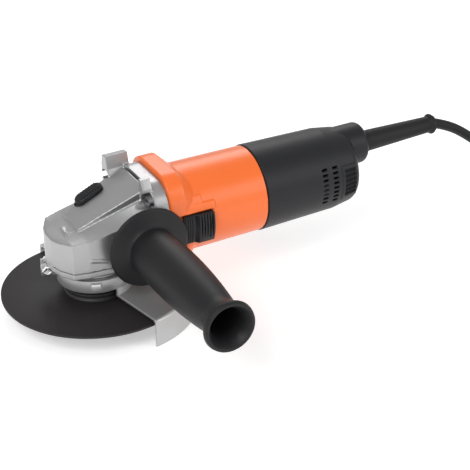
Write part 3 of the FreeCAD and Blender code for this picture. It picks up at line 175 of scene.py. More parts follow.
def coil_point(way):
    """A point of the coil, way turns after its start. Each turn ends with a step to the next one."""
    turn = min(int(way), 2 * TURNS_IN_LAYER - 1)
    step = ease((way - turn - 0.8) / 0.2) if turn < 2 * TURNS_IN_LAYER - 1 else 0
    radius = turn_radius(turn) * (1 - step) + turn_radius(min(turn + 1, 2 * TURNS_IN_LAYER - 1)) * step
    layer = ease((way - TURNS_IN_LAYER + 0.25) / 0.25)
    height = COIL_LOW.z + lead_d / 2 + layer * (COIL_HIGH.z - COIL_LOW.z - lead_d)
    angle = START_ANGLE - way * math.tau
    return (coil_middle.x + radius * math.cos(angle), coil_middle.y + radius * math.sin(angle), height)


# %% Lead: one spline for the whole length
def lead_curve(points, name):
    """A round lead along its control points. Each point carries the lead's radius."""
    data = bpy.data.curves.new(name, "CURVE")
    data.dimensions = "3D"
    data.bevel_depth = 1
    data.bevel_resolution = 5
    data.use_fill_caps = True
    spline = data.splines.new("NURBS")
    spline.points.add(len(points) - 1)
    for point, place in zip(spline.points, points):
        point.co = (*place, 1)
        point.radius = lead_d / 2
    spline.order_u = 3
    spline.use_endpoint_u = True
    spline.resolution_u = 6
    data.resolution_u = 6
    piece = bpy.data.objects.new(name, data)
    bpy.context.scene.collection.objects.link(piece)
    return piece


whole_turns = 2 * TURNS_IN_LAYER + (START_ANGLE - END_ANGLE) / math.tau
steps = round(whole_turns * TURN_POINTS)
coil_points = [coil_point(whole_turns * step / steps) for step in range(steps + 1)]
lead = lead_curve(LEAD_ROUTE + coil_points + TAIL_ROUTE, "mains_lead")
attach(lead, "root")
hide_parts("supply_cord", "cord_coil", "cord_tail")
print("lead has", len(LEAD_ROUTE + coil_points + TAIL_ROUTE), "control points")

# %% [markdown]
# ## Writing materials as sums
#
# A procedural material is a small calculation. Instead of placing nodes by hand, a wrapper round a
# socket lets Python's own signs add the Math nodes, so that `0.4 + noise * 0.1` makes two of them. One
# method makes any other node. Values that never change are set straight on the shader.

# %% Sockets that can be added and multiplied
class Wire:
    """One output socket. Sums on it add Math nodes to its tree."""

    def __init__(self, tree, socket):
        self.tree = tree
        self.socket = socket

    def sum(self, operation, first, second=0.0):
        return self.tree.add("ShaderNodeMath", {"operation": operation}, {0: first, 1: second})

    def __add__(self, other):
        return self.sum("ADD", self, other)

    def __radd__(self, other):
        return self.sum("ADD", other, self)

    def __sub__(self, other):
        return self.sum("SUBTRACT", self, other)

    def __rsub__(self, other):
        return self.sum("SUBTRACT", other, self)

    def __mul__(self, other):
        return self.sum("MULTIPLY", self, other)

    def __rmul__(self, other):
        return self.sum("MULTIPLY", other, self)

    def __truediv__(self, other):
        return self.sum("DIVIDE", self, other)


# %% A tree of nodes, for a material or for a shape
class NodeSheet:
    """A node tree to which one method adds any node."""

    def __init__(self, tree):
        self.nodes = tree.nodes
        self.links = tree.links

    def add(self, kind, settings=None, sockets=None, out=0):
        """Any node: its settings first, then its sockets; gives back one of its outputs."""
        node = self.nodes.new(kind)
        for name, value in (settings or {}).items():
            if name == "stops":
                self.set_stops(node.color_ramp, value)
            else:
                setattr(node, name, value)
        for name, value in (sockets or {}).items():
            if isinstance(value, Wire):
                self.links.new(value.socket, node.inputs[name])
            else:
                node.inputs[name].default_value = value
        return Wire(self, node.outputs[out])

    @staticmethod
    def set_stops(ramp, stops):
        while len(ramp.elements) < len(stops):
            ramp.elements.new(1)
        for element, (place, shade) in zip(ramp.elements, stops):
            element.position = place
            element.color = (shade, shade, shade, 1)


# %% A material that is written from inputs to shader
class Finish(NodeSheet):
    """A material with one Principled shader, whose constants are given by name."""

    def __init__(self, name, **constants):
        self.material = bpy.data.materials.new(name)
        self.material.use_nodes = True
        super().__init__(self.material.node_tree)
        self.shader = self.nodes["Principled BSDF"]
        for socket, value in constants.items():
            self.shader.inputs[socket.replace("_", " ")].default_value = value

    def feed(self, socket, wire):
        self.links.new(wire.socket, self.shader.inputs[socket])

    def places(self):
        """Object coordinates, in metres."""
        return self.add("ShaderNodeTexCoord", out="Object")

    def turned(self, rotation=(0, 0, 0), scale=(1, 1, 1), shift=(0, 0, 0)):
        """Object coordinates moved, turned and stretched."""
        return self.add("ShaderNodeMapping", {}, {"Vector": self.places(), "Rotation": rotation,
                                                  "Scale": scale, "Location": shift})

    def noise(self, scale, detail=3, roughness=0.5, where=None):
        """Cloudy noise from 0 to 1; scale is in cells per metre."""
        return self.add("ShaderNodeTexNoise", {}, {
            "Vector": where or self.places(), "Scale": scale, "Detail": detail, "Roughness": roughness})

    def mix(self, share, first, second):
        """A colour between two colours."""
        return self.add("ShaderNodeMix", {"data_type": "RGBA"}, {0: share, 6: first, 7: second}, out=2)

    def ramp(self, value, *stops):
        return self.add("ShaderNodeValToRGB", {"stops": stops}, {0: value})

    def bump(self, height, distance, strength=1.0):
        """Turns a height into the shader's normal."""
        self.feed("Normal", self.add("ShaderNodeBump", {}, {
            "Height": height, "Distance": distance, "Strength": strength}))


def shade(colour, share):
    """A colour made lighter or darker, with full cover."""
    return (*[channel * share for channel in colour[:3]], 1)


# %% [markdown]
# ## Cast metal
#
# The gear case is die-cast aluminium with a thin silver paint. The paint hides most of the grain, so the
# finish is a soft metal with a fine orange-peel bump, slow changes in brightness and small dull marks
# where it has been handled.

# %% Cast metal finishes
def cast_finish(name, colour, metal=0.55, rough=0.4, grain=900):
    finish = Finish(name, Metallic=metal, Specular_IOR_Level=0.5)
    slow = finish.noise(35, detail=4)
    fine = finish.noise(grain, detail=2, roughness=0.6)
    marks = finish.ramp(finish.noise(210, detail=5, roughness=0.7), (0.6, 0), (0.72, 1))
    finish.feed("Base Color", finish.mix(slow, shade(colour, 0.9), shade(colour, 1.06)))
    finish.feed("Roughness", rough - 0.05 + slow * 0.1 + marks * 0.1)
    finish.bump(fine + slow * 0.6, 0.06 * MM, 0.5)
    return finish.material


# %% [markdown]
# ## Turned, pressed and plated metal
#
# Turning leaves rings round the axis, and rolling leaves lines along the sheet. Both are noise that is
# stretched: rings come from the distance to the axis alone, and lines from coordinates that are squeezed
# along one direction. The lines vary roughness more than colour, as they do on real steel.

# %% Turned and rolled metal finishes
def ring_distance(finish, centre, along):
    """The distance from an axis through centre, as a Wire."""
    flat = {"X": (0, 1, 1), "Y": (1, 0, 1), "Z": (1, 1, 0)}[along]
    place = finish.add("ShaderNodeVectorMath", {"operation": "SUBTRACT"}, {0: finish.places(), 1: centre})
    across = finish.add("ShaderNodeVectorMath", {"operation": "MULTIPLY"}, {0: place, 1: flat})
    return finish.add("ShaderNodeVectorMath", {"operation": "LENGTH"}, {0: across}, out="Value")


def turned_finish(name, colour, centre, along, rough=0.3, metal=1.0, rings=2500, dirt=0.15):
    finish = Finish(name, Metallic=metal)
    distance = ring_distance(finish, centre, along)
    row = finish.add("ShaderNodeCombineXYZ", {}, {"X": distance * rings})
    ring = finish.noise(1, detail=4, roughness=0.7, where=row)
    smear = finish.noise(120, detail=5)
    darker = smear * dirt + ring * 0.2
    finish.feed("Base Color", finish.mix(darker, shade(colour, 1.08), shade(colour, 0.62)))
    finish.feed("Roughness", rough + ring * 0.12 + smear * 0.1)
    finish.bump(ring, 0.02 * MM, 0.4)
    return finish.material


def rolled_finish(name, colour, rough=0.32, metal=1.0, stretch=(1, 18, 18), scale=260, turn=(0, 0, 0)):
    finish = Finish(name, Metallic=metal)
    grain = finish.noise(scale, detail=5, roughness=0.65, where=finish.turned(rotation=turn, scale=stretch))
    stains = finish.noise(60, detail=4)
    darker = grain * 0.5 + stains * 0.3
    finish.feed("Base Color", finish.mix(darker, shade(colour, 1.1), shade(colour, 0.72)))
    finish.feed("Roughness", rough - 0.06 + grain * 0.16 + stains * 0.08)
    finish.bump(grain, 0.02 * MM, 0.35)
    return finish.material


# %% [markdown]
# ## Moulded plastic and rubber
#
# A steel mould is etched, and the plastic copies its fine leather-like grain. Small cells make that
# grain; a slow noise keeps large faces from looking flat. The orange housing is smoother than the dark
# parts, and rubber is rougher and a little dusty.

# %% Plastic and rubber finishes
def moulded_finish(name, colour, rough=0.42, grain=1500, depth=0.03, coat=0.0, dust=0.0, shine=0.3):
    finish = Finish(name, Metallic=0.0, Coat_Weight=coat, Coat_Roughness=0.25, Specular_IOR_Level=shine)
    cells = finish.add("ShaderNodeTexVoronoi", {"feature": "SMOOTH_F1"}, {
        "Vector": finish.places(), "Scale": grain, "Smoothness": 0.6}, out="Distance")
    slow = finish.noise(28, detail=3)
    fine = finish.noise(420, detail=4)
    finish.feed("Base Color", finish.mix(slow * 0.6 + fine * 0.4, shade(colour, 0.92), shade(colour, 1.08)))
    finish.feed("Roughness", rough - 0.06 + slow * 0.08 + fine * (0.06 + dust))
    finish.bump(cells + fine * 0.3, depth * MM, 0.6)
    return finish.material


# %% [markdown]
# ## The disc
#
# The disc is pressed from dark grit and resin with a baked matt coat. Faint circular scuffs show how it
# turns, a slow cloud breaks up the flat face, and the grit itself is a very fine bump.

# %% Disc finish
def disc_finish(name, centre):
    finish = Finish(name, Metallic=0.0, Specular_IOR_Level=0.3)
    row = finish.add("ShaderNodeCombineXYZ", {}, {"X": ring_distance(finish, centre, "Z") * 1400})
    scuffs = finish.noise(1, detail=5, roughness=0.75, where=row)
    cloud = finish.noise(40, detail=5)
    grit = finish.noise(1600, detail=2, roughness=0.8)
    lighter = scuffs * 0.4 + cloud * 0.4 + grit * 0.2
    finish.feed("Base Color", finish.mix(lighter, (0.012, 0.0105, 0.0105, 1), (0.030, 0.026, 0.026, 1)))
    finish.feed("Roughness", 0.48 + scuffs * 0.1 + grit * 0.08)
    finish.bump(scuffs * 0.2 + grit * 0.5, 0.05 * MM, 0.5)
    return finish.material


# %% The finishes of this tool
spindle_axis = Vector((0, 0, axis_z))
cast_silver = cast_finish("cast_silver", (0.43, 0.43, 0.435), metal=0.8, rough=0.36)
orange_shell = moulded_finish("orange_shell", (0.88, 0.155, 0.018), rough=0.34, grain=1900, depth=0.012,
                              coat=0.2, shine=0.5)
dark_shell = moulded_finish("dark_shell", (0.012, 0.0122, 0.0142), rough=0.44, grain=1500, depth=0.035)
grip_plastic = moulded_finish("grip_plastic", (0.0095, 0.0095, 0.0108), rough=0.5, grain=1250, depth=0.04)
button_plastic = moulded_finish("button_plastic", (0.012, 0.0125, 0.0145), rough=0.38, grain=1700,
                                depth=0.02)
lead_rubber = moulded_finish("lead_rubber", (0.010, 0.010, 0.0108), rough=0.5, grain=2400, depth=0.015,
                             dust=0.1)
seal_rubber = moulded_finish("seal_rubber", (0.012, 0.012, 0.012), rough=0.62, grain=900, depth=0.02)
pressed_steel = rolled_finish("pressed_steel", (0.52, 0.52, 0.52), rough=0.36, metal=0.75)
flange_steel = turned_finish("flange_steel", (0.055, 0.055, 0.058), spindle_axis, "Z", rough=0.36,
                             metal=0.6)
bright_screw = turned_finish("bright_screw", (0.82, 0.82, 0.83), spindle_axis, "Y", rough=0.14, dirt=0.05)
dark_screw = turned_finish("dark_screw", (0.20, 0.20, 0.21), spindle_axis, "X", rough=0.35)
shaft_steel = turned_finish("shaft_steel", (0.62, 0.62, 0.63), spindle_axis, "Z", rough=0.24)
motor_shaft_steel = turned_finish("motor_shaft_steel", (0.62, 0.62, 0.63), spindle_axis, "X", rough=0.24)
bearing_steel = turned_finish("bearing_steel", (0.66, 0.66, 0.67), spindle_axis, "X", rough=0.2)
spindle_bearing_steel = turned_finish("spindle_bearing_steel", (0.66, 0.66, 0.67), spindle_axis, "Z",
                                      rough=0.2)
gear_steel = cast_finish("gear_steel", (0.26, 0.25, 0.24), metal=0.9, rough=0.42, grain=2200)
core_steel = rolled_finish("core_steel", (0.30, 0.29, 0.28), rough=0.5, stretch=(40, 1, 1), scale=90)
spring_steel = rolled_finish("spring_steel", (0.55, 0.55, 0.54), rough=0.25)
copper_wire = rolled_finish("copper_wire", (0.62, 0.22, 0.08), rough=0.32, stretch=(1, 26, 4), scale=150)
copper_bars = turned_finish("copper_bars", (0.80, 0.38, 0.20), spindle_axis, "X", rough=0.3)
stamped_brass = rolled_finish("stamped_brass", (0.74, 0.52, 0.22), rough=0.3)
plated_pin = rolled_finish("plated_pin", (0.78, 0.70, 0.45), rough=0.2, stretch=(18, 1, 18))
pressed_carbon = cast_finish("pressed_carbon", (0.05, 0.05, 0.05), metal=0.2, rough=0.6, grain=1800)
capacitor_case = moulded_finish("capacitor_case", (0.62, 0.46, 0.05), rough=0.3, grain=2400, depth=0.01)
baked_disc = disc_finish("baked_disc", spindle_axis)
# Near-white and barely metallic: a painted highlight for the tongue in the guard's index slot.
index_painted_highlight = turned_finish("index_painted_highlight", (0.92, 0.92, 0.92), spindle_axis, "Z", rough=0.4, metal=0.2,
                             dirt=0.0)
stitch_thread = moulded_finish("stitch_thread", (0.07, 0.07, 0.07), rough=0.7, grain=2600, depth=0.03)
hook_tape = moulded_finish("hook_tape", (0.012, 0.012, 0.0135), rough=0.8, grain=1100, depth=0.2, dust=0.1)
print(len(bpy.data.materials), "materials")

# %% [markdown]
# ## Tools for solid pieces
#
# Four ways to make a piece cover everything here. A *finished copy* of a CAD node gets narrow rounded
# edges. A *cast copy* is remeshed into even small faces and relaxed, which rounds every edge and blends
# what touches, as metal does when it fills a die. *Skinned rings* join outlines into a closed body. And
# Geometry Nodes make what repeats.

# %% Putting a mesh in the scene
def new_piece(name, mesh, material, body, slot=None, stands_for=()):
    """A finished object at the origin, riding on a body."""
    piece = bpy.data.objects.new(name, mesh)
    bpy.context.scene.collection.objects.link(piece)
    mesh.materials.clear()
    mesh.materials.append(material)
    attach(piece, body)
    if stands_for:
        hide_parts(*stands_for)
    return piece


def settled(piece):
    """Turns the modifiers of a piece into plain mesh."""
    view = bpy.context.evaluated_depsgraph_get()
    mesh = bpy.data.meshes.new_from_object(piece.evaluated_get(view))
    piece.modifiers.clear()
    piece.data = mesh
    return piece


# %% Copies of CAD nodes as clean meshes
def merged_copy(node):
    """A bmesh of a CAD node whose loose triangles are joined."""
    work = bmesh.new()
    work.from_mesh(nodes[node].data)
    bmesh.ops.remove_doubles(work, verts=work.verts, dist=0.002 * MM)
    return work


def to_mesh(work, name, smooth=True, sharp=35):
    mesh = bpy.data.meshes.new(name)
    work.to_mesh(mesh)
    work.free()
    if smooth:
        mesh.shade_smooth()
        mesh.set_sharp_from_angle(angle=math.radians(sharp))
    return mesh


def finished_copy(node, material, body, edge=0.3, name=None, slot=None):
    """A copy of a CAD node with narrow rounded edges."""
    work = merged_copy(node)
    bmesh.ops.dissolve_limit(work, angle_limit=math.radians(1.5), verts=work.verts, edges=work.edges)
    name = name or node + "_finished"
    piece = new_piece(name, to_mesh(work, name), material, body, slot or slot_of(node), (node,))
    bevel = piece.modifiers.new("edges", "BEVEL")
    bevel.width = edge * MM
    bevel.segments = 2
    bevel.limit_method = "ANGLE"
    bevel.angle_limit = math.radians(32)
    bevel.use_clamp_overlap = True
    settled(piece)
    piece.data.shade_smooth()
    piece.data.set_sharp_from_angle(angle=math.radians(50))
    return piece


def slot_of(node):
    """The record's material slot of a CAD node."""
    found = [row["material_slot"] for row in frame["record"]["subparts"] if row["node"] == node]
    return found[0]


# %% Cast copies: remesh, relax, thin out
def cast_copy(node, material, body, name, cell=0.6, relax=4, keep=0.5, extras=()):
    """A copy of a CAD node, with extra closed solids melted into it, whose edges are all rounded."""
    work = merged_copy(node)
    for extra in extras:
        work.from_mesh(extra)
        bpy.data.meshes.remove(extra)
    piece = new_piece(name, to_mesh(work, name), material, body, slot_of(node), (node,))
    remesh = piece.modifiers.new("even faces", "REMESH")
    remesh.mode = "VOXEL"
    remesh.voxel_size = cell * MM
    remesh.use_smooth_shade = True
    soft = piece.modifiers.new("relax", "SMOOTH")
    soft.factor = 0.5
    soft.iterations = relax
    thin = piece.modifiers.new("thin out", "DECIMATE")
    thin.ratio = keep
    settled(piece)
    piece.data.shade_smooth()
    print(name, len(piece.data.polygons), "faces")
    return piece


# %% Skinned rings
def skinned(rings, name="solid"):
    """A closed mesh through rings of points, with both ends capped and faces pointing outwards."""
    work = bmesh.new()
    loops = [[work.verts.new(point) for point in ring] for ring in rings]
    count = len(rings[0])
    for lower, upper in zip(loops, loops[1:]):
        for index in range(count):
            following = (index + 1) % count
            work.faces.new((lower[index], lower[following], upper[following], upper[index]))
    work.faces.new(list(reversed(loops[0])))
    work.faces.new(loops[-1])
    bmesh.ops.recalc_face_normals(work, faces=work.faces)
    mesh = bpy.data.meshes.new(name)
    work.to_mesh(mesh)
    work.free()
    return mesh


PATCH_ROOT = 1.2 * MM


def round_patch(radius_at, along, turn, rise, steps=(12, 10)):
    """A closed pad that is rooted in a round body and stands proud of it by rise.

    along is its stretch of the axis and turn its stretch of angles, from the near side upwards.
    """
    rings = []
    for part in range(steps[0] + 1):
        place = along[0] + (along[1] - along[0]) * part / steps[0]
        ring = []
        for deep, order in ((rise, range(steps[1] + 1)), (-PATCH_ROOT, range(steps[1], -1, -1))):
            for step in order:
                angle = math.radians(turn[0] + (turn[1] - turn[0]) * step / steps[1])
                radius = radius_at(place) + deep
                ring.append((place, -radius * math.cos(angle), axis_z + radius * math.sin(angle)))
        rings.append(ring)
    return skinned(rings)


# %% [markdown]
# ## Geometry Nodes for what repeats
#
# Ribs, slats, stitches and screws are one small shape set down many times, and the strain relief is a tube
# whose radius follows a rule. Each gets a node tree with named inputs. The tree ends by making its copies
# real and giving them their material; the result is then taken off as a plain mesh.

# %% A recipe: a tree of geometry nodes with named inputs
class Recipe(NodeSheet):
    """A Geometry Nodes tree. Its inputs are declared with the values that a piece gives them."""

    KINDS = {int: "NodeSocketInt", float: "NodeSocketFloat", tuple: "NodeSocketVector"}

    def __init__(self, name, inputs):
        self.tree = bpy.data.node_groups.new(name, "GeometryNodeTree")
        super().__init__(self.tree)
        self.inputs = inputs
        self.keys = {}
        for label, value in inputs.items():
            kind = self.KINDS[type(value)]
            socket = self.tree.interface.new_socket(label, in_out="INPUT", socket_type=kind)
            self.keys[label] = socket.identifier
        self.tree.interface.new_socket("Shape", in_out="OUTPUT", socket_type="NodeSocketGeometry")
        self.given = self.nodes.new("NodeGroupInput")

    def value(self, label):
        """One of the tree's named inputs."""
        return Wire(self, self.given.outputs[label])

    def vector(self, x=0.0, y=0.0, z=0.0):
        return self.add("ShaderNodeCombineXYZ", {}, {"X": x, "Y": y, "Z": z})

    def end(self, shape, material):
        """Makes the copies real and gives them their material."""
        real = self.add("GeometryNodeRealizeInstances", {}, {"Geometry": shape})
        dressed = self.add("GeometryNodeSetMaterial", {}, {"Geometry": real, "Material": material})
        self.links.new(dressed.socket, self.nodes.new("NodeGroupOutput").inputs[0])

    def made(self, name, material, body, slot, stands_for=(), smooth=40):
        """The recipe's result as a finished piece."""
        carrier = bpy.data.objects.new(name + "_carrier", bpy.data.meshes.new(name + "_carrier"))
        bpy.context.scene.collection.objects.link(carrier)
        modifier = carrier.modifiers.new("recipe", "NODES")
        modifier.node_group = self.tree
        for label, value in self.inputs.items():
            modifier[self.keys[label]] = value
        view = bpy.context.evaluated_depsgraph_get()
        mesh = bpy.data.meshes.new_from_object(carrier.evaluated_get(view))
        mesh.name = name
        bpy.data.objects.remove(carrier)
        mesh.shade_smooth()
        mesh.set_sharp_from_angle(angle=math.radians(smooth))
        print(name, len(mesh.polygons), "faces")
        return new_piece(name, mesh, material, body, slot, stands_for)


# %% Recipe: blocks in rows and columns
def block_rows(name, material, body, slot, inputs):
    """Small blocks on a flat grid, which is then turned and put in its place."""
    recipe = Recipe(name, inputs)
    value = recipe.value
    lines = []
    for count, step, letter in (("Columns", "Column step", "x"), ("Rows", "Row step", "y")):
        start = (value(count) - 1.0) * value(step) * -0.5
        lines.append(recipe.add("GeometryNodeMeshLine", {"mode": "OFFSET"}, {
            "Count": value(count), "Start Location": recipe.vector(**{letter: start}),
            "Offset": recipe.vector(**{letter: value(step)})}))
    row, column = lines
    spots = recipe.add("GeometryNodeInstanceOnPoints", {}, {"Points": column, "Instance": row})
    spots = recipe.add("GeometryNodeRealizeInstances", {}, {"Geometry": spots})
    bar = recipe.add("GeometryNodeMeshCube", {}, {"Size": value("Block")})
    bars = recipe.add("GeometryNodeInstanceOnPoints", {}, {"Points": spots, "Instance": bar})
    moved = recipe.add("GeometryNodeTransform", {}, {
        "Geometry": bars, "Translation": value("Place"), "Rotation": value("Turn")})
    recipe.end(moved, material)
    return recipe.made(name, material, body, slot)


# %% Recipe: blocks in rows round the motor axis
def round_rows(name, material, body, slot, inputs):
    """Blocks that follow a round body: columns along the axis, rows round it from the near side up."""
    recipe = Recipe(name, inputs)
    value = recipe.value
    column = recipe.add("GeometryNodeMeshLine", {"mode": "OFFSET"}, {
        "Count": value("Columns"), "Start Location": recipe.vector(y=value("Radius") * -1.0),
        "Offset": recipe.vector(x=value("Column step"), y=value("Radius step") * -1.0)})
    bar = recipe.add("GeometryNodeMeshCube", {}, {"Size": value("Block")})
    bars = recipe.add("GeometryNodeInstanceOnPoints", {}, {"Points": column, "Instance": bar})
    rows = recipe.add("GeometryNodeMeshLine", {"mode": "OFFSET"}, {
        "Count": value("Rows"), "Offset": (0.0, 0.0, 0.0)})
    angle = value("First angle") + recipe.add("GeometryNodeInputIndex") * value("Angle step")
    spread = recipe.add("GeometryNodeInstanceOnPoints", {}, {
        "Points": rows, "Instance": bars, "Rotation": recipe.vector(x=angle * -1.0)})
    moved = recipe.add("GeometryNodeTransform", {}, {"Geometry": spread, "Translation": value("Place")})
    recipe.end(moved, material)
    return recipe.made(name, material, body, slot)


# %% Recipe: cross-head screws on a grid
def screw_grid(name, material, body, slot, stands_for, inputs):
    """Screws at the corners of a rectangle, their heads facing away from their shanks."""
    recipe = Recipe(name, inputs)
    value = recipe.value
    head = recipe.add("GeometryNodeMeshCylinder", {}, {
        "Vertices": 32, "Radius": value("Head radius"), "Depth": value("Head height")})
    lifted = recipe.add("GeometryNodeTransform", {}, {
        "Geometry": head, "Translation": recipe.vector(z=value("Head height") * 0.5)})
    arm = value("Head radius") * 1.1
    for across in ((arm, arm * 0.2), (arm * 0.2, arm)):
        slot_bar = recipe.add("GeometryNodeMeshCube", {}, {
            "Size": recipe.vector(across[0], across[1], value("Head height"))})
        sunk = recipe.add("GeometryNodeTransform", {}, {
            "Geometry": slot_bar, "Translation": recipe.vector(z=value("Head height") * 0.95)})
        lifted = recipe.add("GeometryNodeMeshBoolean", {"operation": "DIFFERENCE", "solver": "EXACT"}, {
            "Mesh 1": lifted, "Mesh 2": sunk})
    shank = recipe.add("GeometryNodeMeshCylinder", {}, {
        "Vertices": 20, "Radius": value("Shank radius"), "Depth": value("Shank length")})
    lowered = recipe.add("GeometryNodeTransform", {}, {
        "Geometry": shank, "Translation": recipe.vector(z=value("Shank length") * -0.5)})
    join = recipe.nodes.new("GeometryNodeJoinGeometry")
    recipe.links.new(lifted.socket, join.inputs[0])
    recipe.links.new(lowered.socket, join.inputs[0])
    grid = recipe.add("GeometryNodeMeshGrid", {}, {
        "Size X": value("Spacing"), "Size Y": value("Spacing"), "Vertices X": 2, "Vertices Y": 2})
    screws = recipe.add("GeometryNodeInstanceOnPoints", {}, {
        "Points": grid, "Instance": Wire(recipe, join.outputs[0])})
    moved = recipe.add("GeometryNodeTransform", {}, {
        "Geometry": screws, "Translation": value("Place"), "Rotation": value("Turn")})
    recipe.end(moved, material)
    return recipe.made(name, material, body, slot, stands_for, smooth=35)


# %% Recipe: a boot whose radius follows a rule
def tapered_boot(name, material, body, slot, stands_for, inputs):
    """A tube along X: its radius falls evenly from root to tip, with a rounded bead near the end."""
    recipe = Recipe(name, inputs)
    value = recipe.value
    line = recipe.add("GeometryNodeCurvePrimitiveLine", {}, {
        "End": recipe.vector(x=value("Length"))})
    points = recipe.add("GeometryNodeResampleCurve", {}, {"Curve": line, "Count": value("Rings")})
    along = recipe.add("GeometryNodeSplineParameter", out="Length")
    taper = value("Root") + (value("Tip") - value("Root")) * along / value("Length")
    off = (along - value("Bead place")) / value("Bead reach")
    hump = recipe.add("ShaderNodeMath", {"operation": "MAXIMUM"}, {0: 1.0 - off * off, 1: 0.0})
    hump = recipe.add("ShaderNodeMath", {"operation": "SQRT"}, {0: hump})
    ring = recipe.add("GeometryNodeCurvePrimitiveCircle", {}, {"Resolution": 48, "Radius": 1.0})
    tube = recipe.add("GeometryNodeCurveToMesh", {}, {
        "Curve": points, "Profile Curve": ring, "Scale": taper + hump * value("Bead height"),
        "Fill Caps": True})
    moved = recipe.add("GeometryNodeTransform", {}, {"Geometry": tube, "Translation": value("Place")})
    recipe.end(moved, material)
    return recipe.made(name, material, body, slot, stands_for, smooth=60)


# %% [markdown]
# ## The castings and shells
#
# The gear case with its cover, the motor housing and the rear housing are the big pieces. They are cast
# copies: their CAD shapes are exact, and melting them into even faces gives the soft edges of the real
# mould. Low ridges and pads that the CAD model leaves out are melted in with them.

# %% Mouldings that are melted into the shells
SEAM_RADIUS, SHOULDER_RADIUS, TAIL_RADIUS, MOTOR_RADIUS = 29.6 * MM, 28.2 * MM, 26.0 * MM, 29.9 * MM
REAR_SHOULDER, REAR_TAIL = 0.170, 0.1835
TAIL_ROUNDING, TAIL_DROP = 5 * MM, 6.8 * MM


def rear_radius(place):
    """The radius of the rear housing at a place along the axis: two cones, then a rounded end."""
    start = low("rear_housing").x
    if place < REAR_SHOULDER:
        share = (place - start) / (REAR_SHOULDER - start)
        return SEAM_RADIUS + (SHOULDER_RADIUS - SEAM_RADIUS) * share
    if place < REAR_TAIL:
        share = (place - REAR_SHOULDER) / (REAR_TAIL - REAR_SHOULDER)
        return SHOULDER_RADIUS + (TAIL_RADIUS - SHOULDER_RADIUS) * share
    share = (place - REAR_TAIL) / TAIL_ROUNDING
    return TAIL_RADIUS - TAIL_DROP * (1 - math.sqrt(max(0.0, 1 - share ** 2)))


def motor_radius(place):
    """The radius of the motor housing, which is a plain tube and so the same at every place."""
    return MOTOR_RADIUS


def ridge_bar(start, end, wide, proud):
    """A low ridge between two points; it reaches as far down as up."""
    start, end = Vector(start), Vector(end)
    ahead = (end - start).normalized()
    side = ahead.cross(Vector((0, 0, 1))).normalized() * wide / 2
    up = ahead.cross(side).normalized() * proud
    return skinned([[point + side + up, point + side - up, point - side - up, point - side + up]
                    for point in (start, end)])


def case_point(x, y, z):
    """A place given in millimetres from where the two axes cross."""
    return Vector((x * MM, y * MM, axis_z + z * MM))


rear_panel = [round_patch(rear_radius, (0.1722, 0.1845), (-30, 25), 0.6 * MM)]
switch_brow = [round_patch(motor_radius, (0.049, 0.0755), (17, 27), 0.9 * MM),
               round_patch(motor_radius, (0.049, 0.067), (26, 38), 0.5 * MM)]
NOSE_MARK_ENDS = [((-20.2, 1.8, 5.8), (-21.4, -8.6, 5.5)), ((-21.4, -8.6, 5.5), (-18.2, -5.6, 6.3)),
                  ((-18.4, -5.8, 6.3), (-15.4, -5.2, 7.0))]
nose_mark = [ridge_bar(case_point(*start), case_point(*end), 1.2 * MM, 0.8 * MM)
             for start, end in NOSE_MARK_ENDS]
side_lines = [ridge_bar(case_point(-12, -24.7, -8.2), case_point(10, -26.2, -13.4), 0.9 * MM, 0.9 * MM)]
print(len(rear_panel) + len(switch_brow) + len(nose_mark) + len(side_lines), "mouldings")

# %% Gear case, bearing cover, motor housing and rear housing
cast_copy("gear_case", cast_silver, "root", "gear_case_casting", cell=0.5, relax=3, keep=0.35,
          extras=nose_mark + side_lines)
cast_copy("bearing_cover", cast_silver, "root", "bearing_cover_casting", cell=0.36, relax=5, keep=0.3)
cast_copy("motor_housing", orange_shell, "root", "motor_housing_shell", cell=0.62, relax=4, keep=0.4,
          extras=switch_brow)
cast_copy("rear_housing", dark_shell, "root", "rear_housing_shell", cell=0.42, relax=2, keep=0.24,
          extras=rear_panel)

# %% [markdown]
# ## Handle, guard, disc and buttons
#
# These pieces are turned, pressed or moulded to a clear shape, so a copy with narrow rounded edges is
# enough. The table gives each one its finish, the body that it rides on and the width of its edges.

# %% Pieces with rounded edges
EDGED_PIECES = {
    "side_handle": (grip_plastic, "root", 0.5),
    "guard_cover": (pressed_steel, "guard", 0.25),
    "guard_band": (pressed_steel, "guard", 0.2),
    "guard_screw": (bright_screw, "guard", 0.3),
    "guard_nut": (bright_screw, "guard", 0.2),
    "inner_flange": (flange_steel, "spindle", 0.25),
    "cutting_disc": (baked_disc, "spindle", 0.2),
    "lock_nut": (flange_steel, "spindle", 0.3),
    "lock_button": (button_plastic, "spindle_lock", 0.3),
    "slide_button": (button_plastic, "slide_switch", 0.25),
    "cover_screws": (dark_screw, "root", 0.2),
    "plug_body": (lead_rubber, "root", 0.8),
    "plug_pins": (plated_pin, "root", 0.4),
    "cord_tie": (hook_tape, "root", 0.3),
}
edged = {node: finished_copy(node, finish, body, edge)
         for node, (finish, body, edge) in EDGED_PIECES.items()}
print(len(edged), "pieces with rounded edges")

# %% Strain relief and case screws
RELIEF_COLLAR = 5 * MM
relief_low, relief_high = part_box("strain_relief")
tapered_boot("strain_relief_boot", lead_rubber, "root", "cord_rubber", ("strain_relief",), {
    "Length": relief_high.x - relief_low.x - RELIEF_COLLAR, "Rings": 120, "Root": 7.6 * MM,
    "Tip": 5.5 * MM, "Bead place": relief_high.x - relief_low.x - 7.6 * MM, "Bead reach": 1.7 * MM,
    "Bead height": 1.5 * MM,
    "Place": (relief_low.x + RELIEF_COLLAR, 0.0, (relief_low.z + relief_high.z) / 2)})
screw_grid("case_screws_set", dark_screw, "root", "screw_steel", ("case_screws",), {
    "Head radius": 3.8 * MM, "Head height": 3.2 * MM, "Shank radius": 2.0 * MM, "Shank length": 24 * MM,
    "Spacing": 45.2 * MM, "Place": tuple(case_point(33, 0, 0)), "Turn": (0.0, -math.pi / 2, 0.0)})
